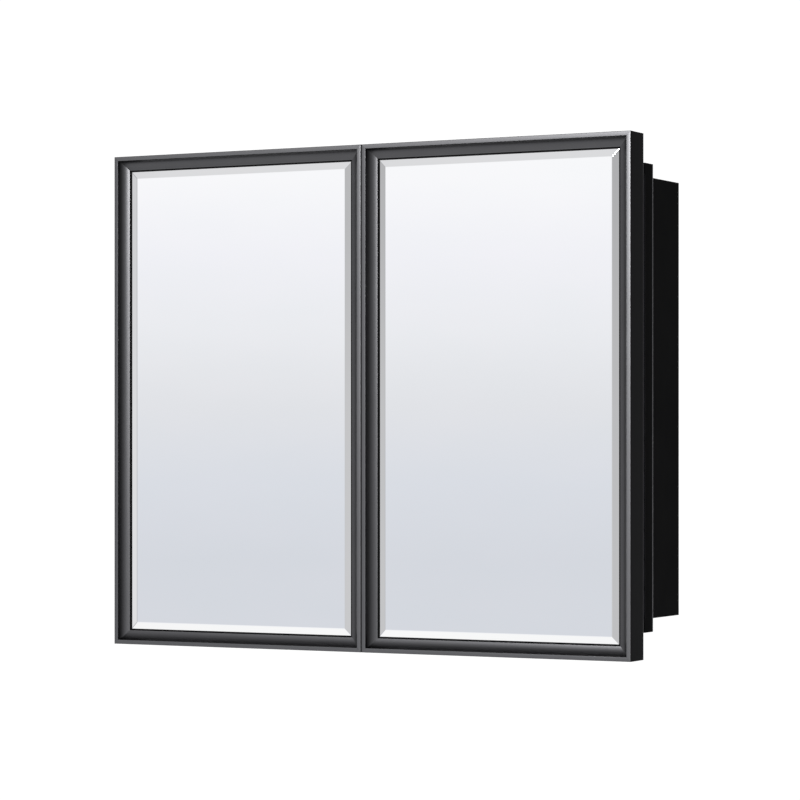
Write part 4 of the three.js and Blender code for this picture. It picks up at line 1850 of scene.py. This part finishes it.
@dataclass
class Studio:
    """White room, pale floor, soft boxes and the camera."""

    doors_middle: tuple[float, float, float] = (0.0, -0.15, 0.0)
    lens: float = 139.19
    turn_deg: float = 27.8526  # the camera looks this far round from straight on
    from_corner: tuple[float, float] = (1.541, -3.529)  # from the doors' front right corner, in metres
    above_foot: float = 0.26865  # over the doors' lower edge
    shift_y: float = 0.05691
    floor_drop: float = 0.85  # floor below the doors
    floor_radius: float = 3.6
    floor_light: tuple[float, float, float] = (-1.4, -2.8, 0.0)  # middle of the floor's light patch
    floor_light_reach: float = 3.1
    floor_sides: int = 96
    floor_paint: Colour = (0.86, 0.86, 0.87, 1.0)
    floor_lift: Colour = (0.97, 0.97, 1.0, 1.0)  # light that keeps the floor pale between the soft boxes
    floor_lift_strength: float = 0.4
    exposure: float = 1.06
    boxes: tuple[SoftBox, ...] = (
        SoftBox("key_soft_box", bearing=7, elevation=17, distance=6.0, size=(1.2, 1.5), watts=250),
        SoftBox("rim_strip", bearing=-158, elevation=0, distance=3.0, size=(0.5, 1.6), watts=0.15),
    )

    # The room's brightness by direction, in degrees to the left of straight ahead of the doors.
    around: tuple = (
        (-180, 0.10), (-150, 0.05), (-115, 0.10), (-85, 0.16), (-65, 0.19), (-50, 0.27), (-40, 0.38),
        (-30, 0.55), (-20, 0.70), (-5, 0.66), (0, 0.52), (9.7, 0.53), (13, 0.61), (18, 0.55), (34, 0.40),
        (40, 0.45), (42, 0.56), (44, 0.58), (46.5, 0.76), (49, 0.76), (56, 0.76), (66, 0.86), (78, 0.40),
        (90, 0.08), (105, 0.03), (150, 0.03), (180, 0.10),
    )
    # Its share of that up and down, by elevation in degrees.
    upright: tuple = (
        (-90, "#606062"), (-30, "#f8f8fa"), (-2.6, "#fdfdff"), (0.85, "#f8f8fa"), (4.5, "#e8e8ea"),
        (15, "#f2f2f4"), (32, "#d6d6d8"), (48, "#8c8c8e"), (64, "#58585a"), (90, "#38383a"),
    )
    # The lit backdrop that the mirrors look at, by elevation in degrees.
    backdrop: tuple = (
        (-90, "#606062"), (-22, "#f6f7f9"), (-11, "#f0f1f5"), (-6, "#d6d8de"), (-3.6, "#d5d8df"),
        (-2.1, "#d5d8df"), (-0.6, "#dadde4"), (0.85, "#e2e3e7"), (2.1, "#eaebef"), (3.6, "#f1f1f6"),
        (5.2, "#f9f9fb"), (9, "#f2f2f4"), (13, "#dcdcde"), (22, "#dadadc"), (45, "#909092"), (90, "#505052"),
    )
    backdrop_span: tuple = (18.5, 21.0, 34.5, 38.0)  # degrees to the left: where it fades in and out
    # What the floor gives back in a gloss, from the middle of its light patch to that patch's reach.
    floor_glow: tuple = (
        (0.0, "#ffffff"), (0.4, "#fafafb"), (0.62, "#f2f2f4"), (0.80, "#98989a"), (1.0, "#363638"),
    )

    def world(self) -> None:
        """Paint the room: white where the camera sees it, graded where surfaces reflect it."""
        world = bpy.data.worlds.new("studio_room")
        bpy.context.scene.world = world
        world.use_nodes = True
        tree = world.node_tree
        tree.nodes.clear()
        way = add_node(tree, "ShaderNodeTexCoord").outputs["Generated"]
        split = add_node(tree, "ShaderNodeSeparateXYZ", inputs={0: way}).outputs
        left = add_node(tree, "ShaderNodeMath", {"operation": "MULTIPLY"}, {0: split["X"], 1: -1.0})
        ahead = add_node(tree, "ShaderNodeMath", {"operation": "MULTIPLY"}, {0: split["Y"], 1: -1.0})
        bearing = add_node(
            tree, "ShaderNodeMath", {"operation": "ARCTAN2"}, {0: left.outputs[0], 1: ahead.outputs[0]}
        ).outputs[0]
        height = add_node(tree, "ShaderNodeMath", {"operation": "ARCSINE"}, {0: split["Z"]}).outputs[0]
        around = self.graded(tree, bearing, 180, self.around)
        upright = self.graded(tree, height, 90, self.upright)
        product = {"data_type": "RGBA", "blend_type": "MULTIPLY"}
        room = add_node(tree, "ShaderNodeMix", product, {0: 1.0, 6: around, 7: upright}).outputs[2]
        start, full, fade, end = self.backdrop_span
        window = ((-180, 0.0), (start, 0.0), (full, 1.0), (fade, 1.0), (end, 0.0), (180, 0.0))
        share = self.graded(tree, bearing, 180, window)
        backdrop = self.graded(tree, height, 90, self.backdrop)
        plain = {"data_type": "RGBA"}
        lit = add_node(tree, "ShaderNodeMix", plain, {0: share, 6: room, 7: backdrop}).outputs[2]
        seen = add_node(tree, "ShaderNodeLightPath").outputs["Is Camera Ray"]
        white = srgb("#ffffff")
        shown = add_node(tree, "ShaderNodeMix", plain, {0: seen, 6: lit, 7: white})
        light = add_node(
            tree, "ShaderNodeBackground", inputs={"Color": shown.outputs[2], "Strength": self.exposure}
        )
        add_node(tree, "ShaderNodeOutputWorld", inputs={"Surface": light.outputs[0]})

    def graded(
        self, tree: bpy.types.NodeTree, angle: bpy.types.NodeSocket, limit: float, stops: Sequence[tuple]
    ) -> bpy.types.NodeSocket:
        """Turn an angle into a colour.

        Args:
            tree: the world's tree.
            angle: the angle in radians.
            limit: the largest angle in degrees, either way.
            stops: angle in degrees, and a brightness or an sRGB code.

        Returns:
            The colour socket.
        """
        span = add_node(
            tree,
            "ShaderNodeMapRange",
            {},
            {"Value": angle, "From Min": -math.radians(limit), "From Max": math.radians(limit)},
        )
        ramp = add_node(tree, "ShaderNodeValToRGB", inputs={"Fac": span.outputs["Result"]})
        set_ramp(ramp.color_ramp, [((a + limit) / (2 * limit), self.tone(value)) for a, value in stops])
        return ramp.outputs["Color"]

    @staticmethod
    def tone(value: float | str) -> Colour:
        """Colour of a ramp stop, from a plain brightness or an sRGB code."""
        return srgb(value) if isinstance(value, str) else (value, value, value, 1.0)

    def hang(self, box: SoftBox) -> None:
        """Hang one soft box, aimed at the doors' middle.

        Args:
            box: the soft box.
        """
        lamp = bpy.data.lights.new(box.name, "AREA")
        lamp.shape = "RECTANGLE"
        lamp.size, lamp.size_y = box.size
        lamp.energy = box.watts
        made = bpy.data.objects.new(box.name, lamp)
        bpy.context.scene.collection.objects.link(made)
        a, e = math.radians(box.bearing), math.radians(box.elevation)
        way = Vector((-math.sin(a) * math.cos(e), -math.cos(a) * math.cos(e), math.sin(e)))
        made.location = Vector(self.doors_middle) + way * box.distance
        made.rotation_euler = (-way).to_track_quat("-Z", "Y").to_euler()
        made.visible_camera = False

    def floor(self) -> None:
        """Lay the pale round floor below the cabinet."""
        level = CAD_BOX[0][2] - self.floor_drop
        bpy.ops.mesh.primitive_circle_add(
            vertices=self.floor_sides, radius=self.floor_radius, fill_type="NGON", location=(0, 0, level)
        )
        disc = bpy.context.object
        disc.name = "studio_floor"
        paint = bpy.data.materials.new("matt_white_floor")
        paint.use_nodes = True
        tree = paint.node_tree
        tree.nodes.clear()
        matt = add_node(tree, "ShaderNodeBsdfDiffuse", inputs={"Color": self.floor_paint})
        place = add_node(tree, "ShaderNodeTexCoord").outputs["Object"]
        away = add_node(
            tree, "ShaderNodeVectorMath", {"operation": "DISTANCE"}, {0: place, 1: self.floor_light}
        ).outputs["Value"]
        share = {0: away, 1: self.floor_light_reach}
        span = add_node(tree, "ShaderNodeMath", {"operation": "DIVIDE"}, share)
        spot = add_node(tree, "ShaderNodeValToRGB", inputs={"Fac": span.outputs[0]})
        set_ramp(spot.color_ramp, [(place_on, srgb(code)) for place_on, code in self.floor_glow])
        glow = add_node(tree, "ShaderNodeEmission", inputs={"Color": spot.outputs["Color"], "Strength": 1.0})
        glossy = add_node(tree, "ShaderNodeLightPath").outputs["Is Glossy Ray"]
        lift = {"Color": self.floor_lift, "Strength": self.floor_lift_strength}
        lifted = add_node(tree, "ShaderNodeEmission", inputs=lift)
        pale = add_node(tree, "ShaderNodeAddShader", inputs={0: matt.outputs[0], 1: lifted.outputs[0]})
        ways = {0: glossy, 1: pale.outputs[0], 2: glow.outputs[0]}
        both = add_node(tree, "ShaderNodeMixShader", inputs=ways)
        add_node(tree, "ShaderNodeOutputMaterial", inputs={"Surface": both.outputs[0]})
        disc.data.materials.append(paint)

    def camera(self) -> None:
        """Place the camera to the right of the doors, level, with a long lens."""
        corner_low, corner_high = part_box("right_door_right_moulding")
        lens = bpy.data.cameras.new("camera")
        lens.lens = self.lens
        lens.sensor_width = 36.0
        lens.shift_y = self.shift_y
        lens.clip_end = 100.0
        made = bpy.data.objects.new("camera", lens)
        bpy.context.scene.collection.objects.link(made)
        made.location = (
            corner_high.x + self.from_corner[0],
            corner_low.y + self.from_corner[1],
            corner_low.z + self.above_foot,
        )
        made.rotation_euler = (math.pi / 2, 0.0, math.radians(self.turn_deg))
        bpy.context.scene.camera = made

    def build(self) -> None:
        """Set the whole studio up."""
        bpy.context.scene.view_settings.view_transform = "Standard"
        self.camera()
        self.world()
        self.floor()
        for box in self.boxes:
            self.hang(box)


# ---------------------------------------------------------------- building it all


def main() -> None:
    """Build the cabinet piece by piece, then the studio."""
    logging.basicConfig(level=logging.INFO, format="%(message)s")
    glass, leaves = bevelled_glass_tree(), hinge_leaf_tree()
    screws, sleeves = screw_row_tree(), sleeve_grid_tree()
    studio = Studio()
    for place in (DoorPlace("left_door", -1), DoorPlace("right_door", 1)):
        DoorFrame(place).build()
        DoorGlass(place, glass).build()
        DoorFittings(place, screws).build()
        ContinuousHinge(place, leaves, screws).build()
        MagnetCatch(place.side, screws).build()
    CaseBoards().build()
    Shelving(sleeves).build()
    studio.build()


if __name__ == "__main__":
    main()
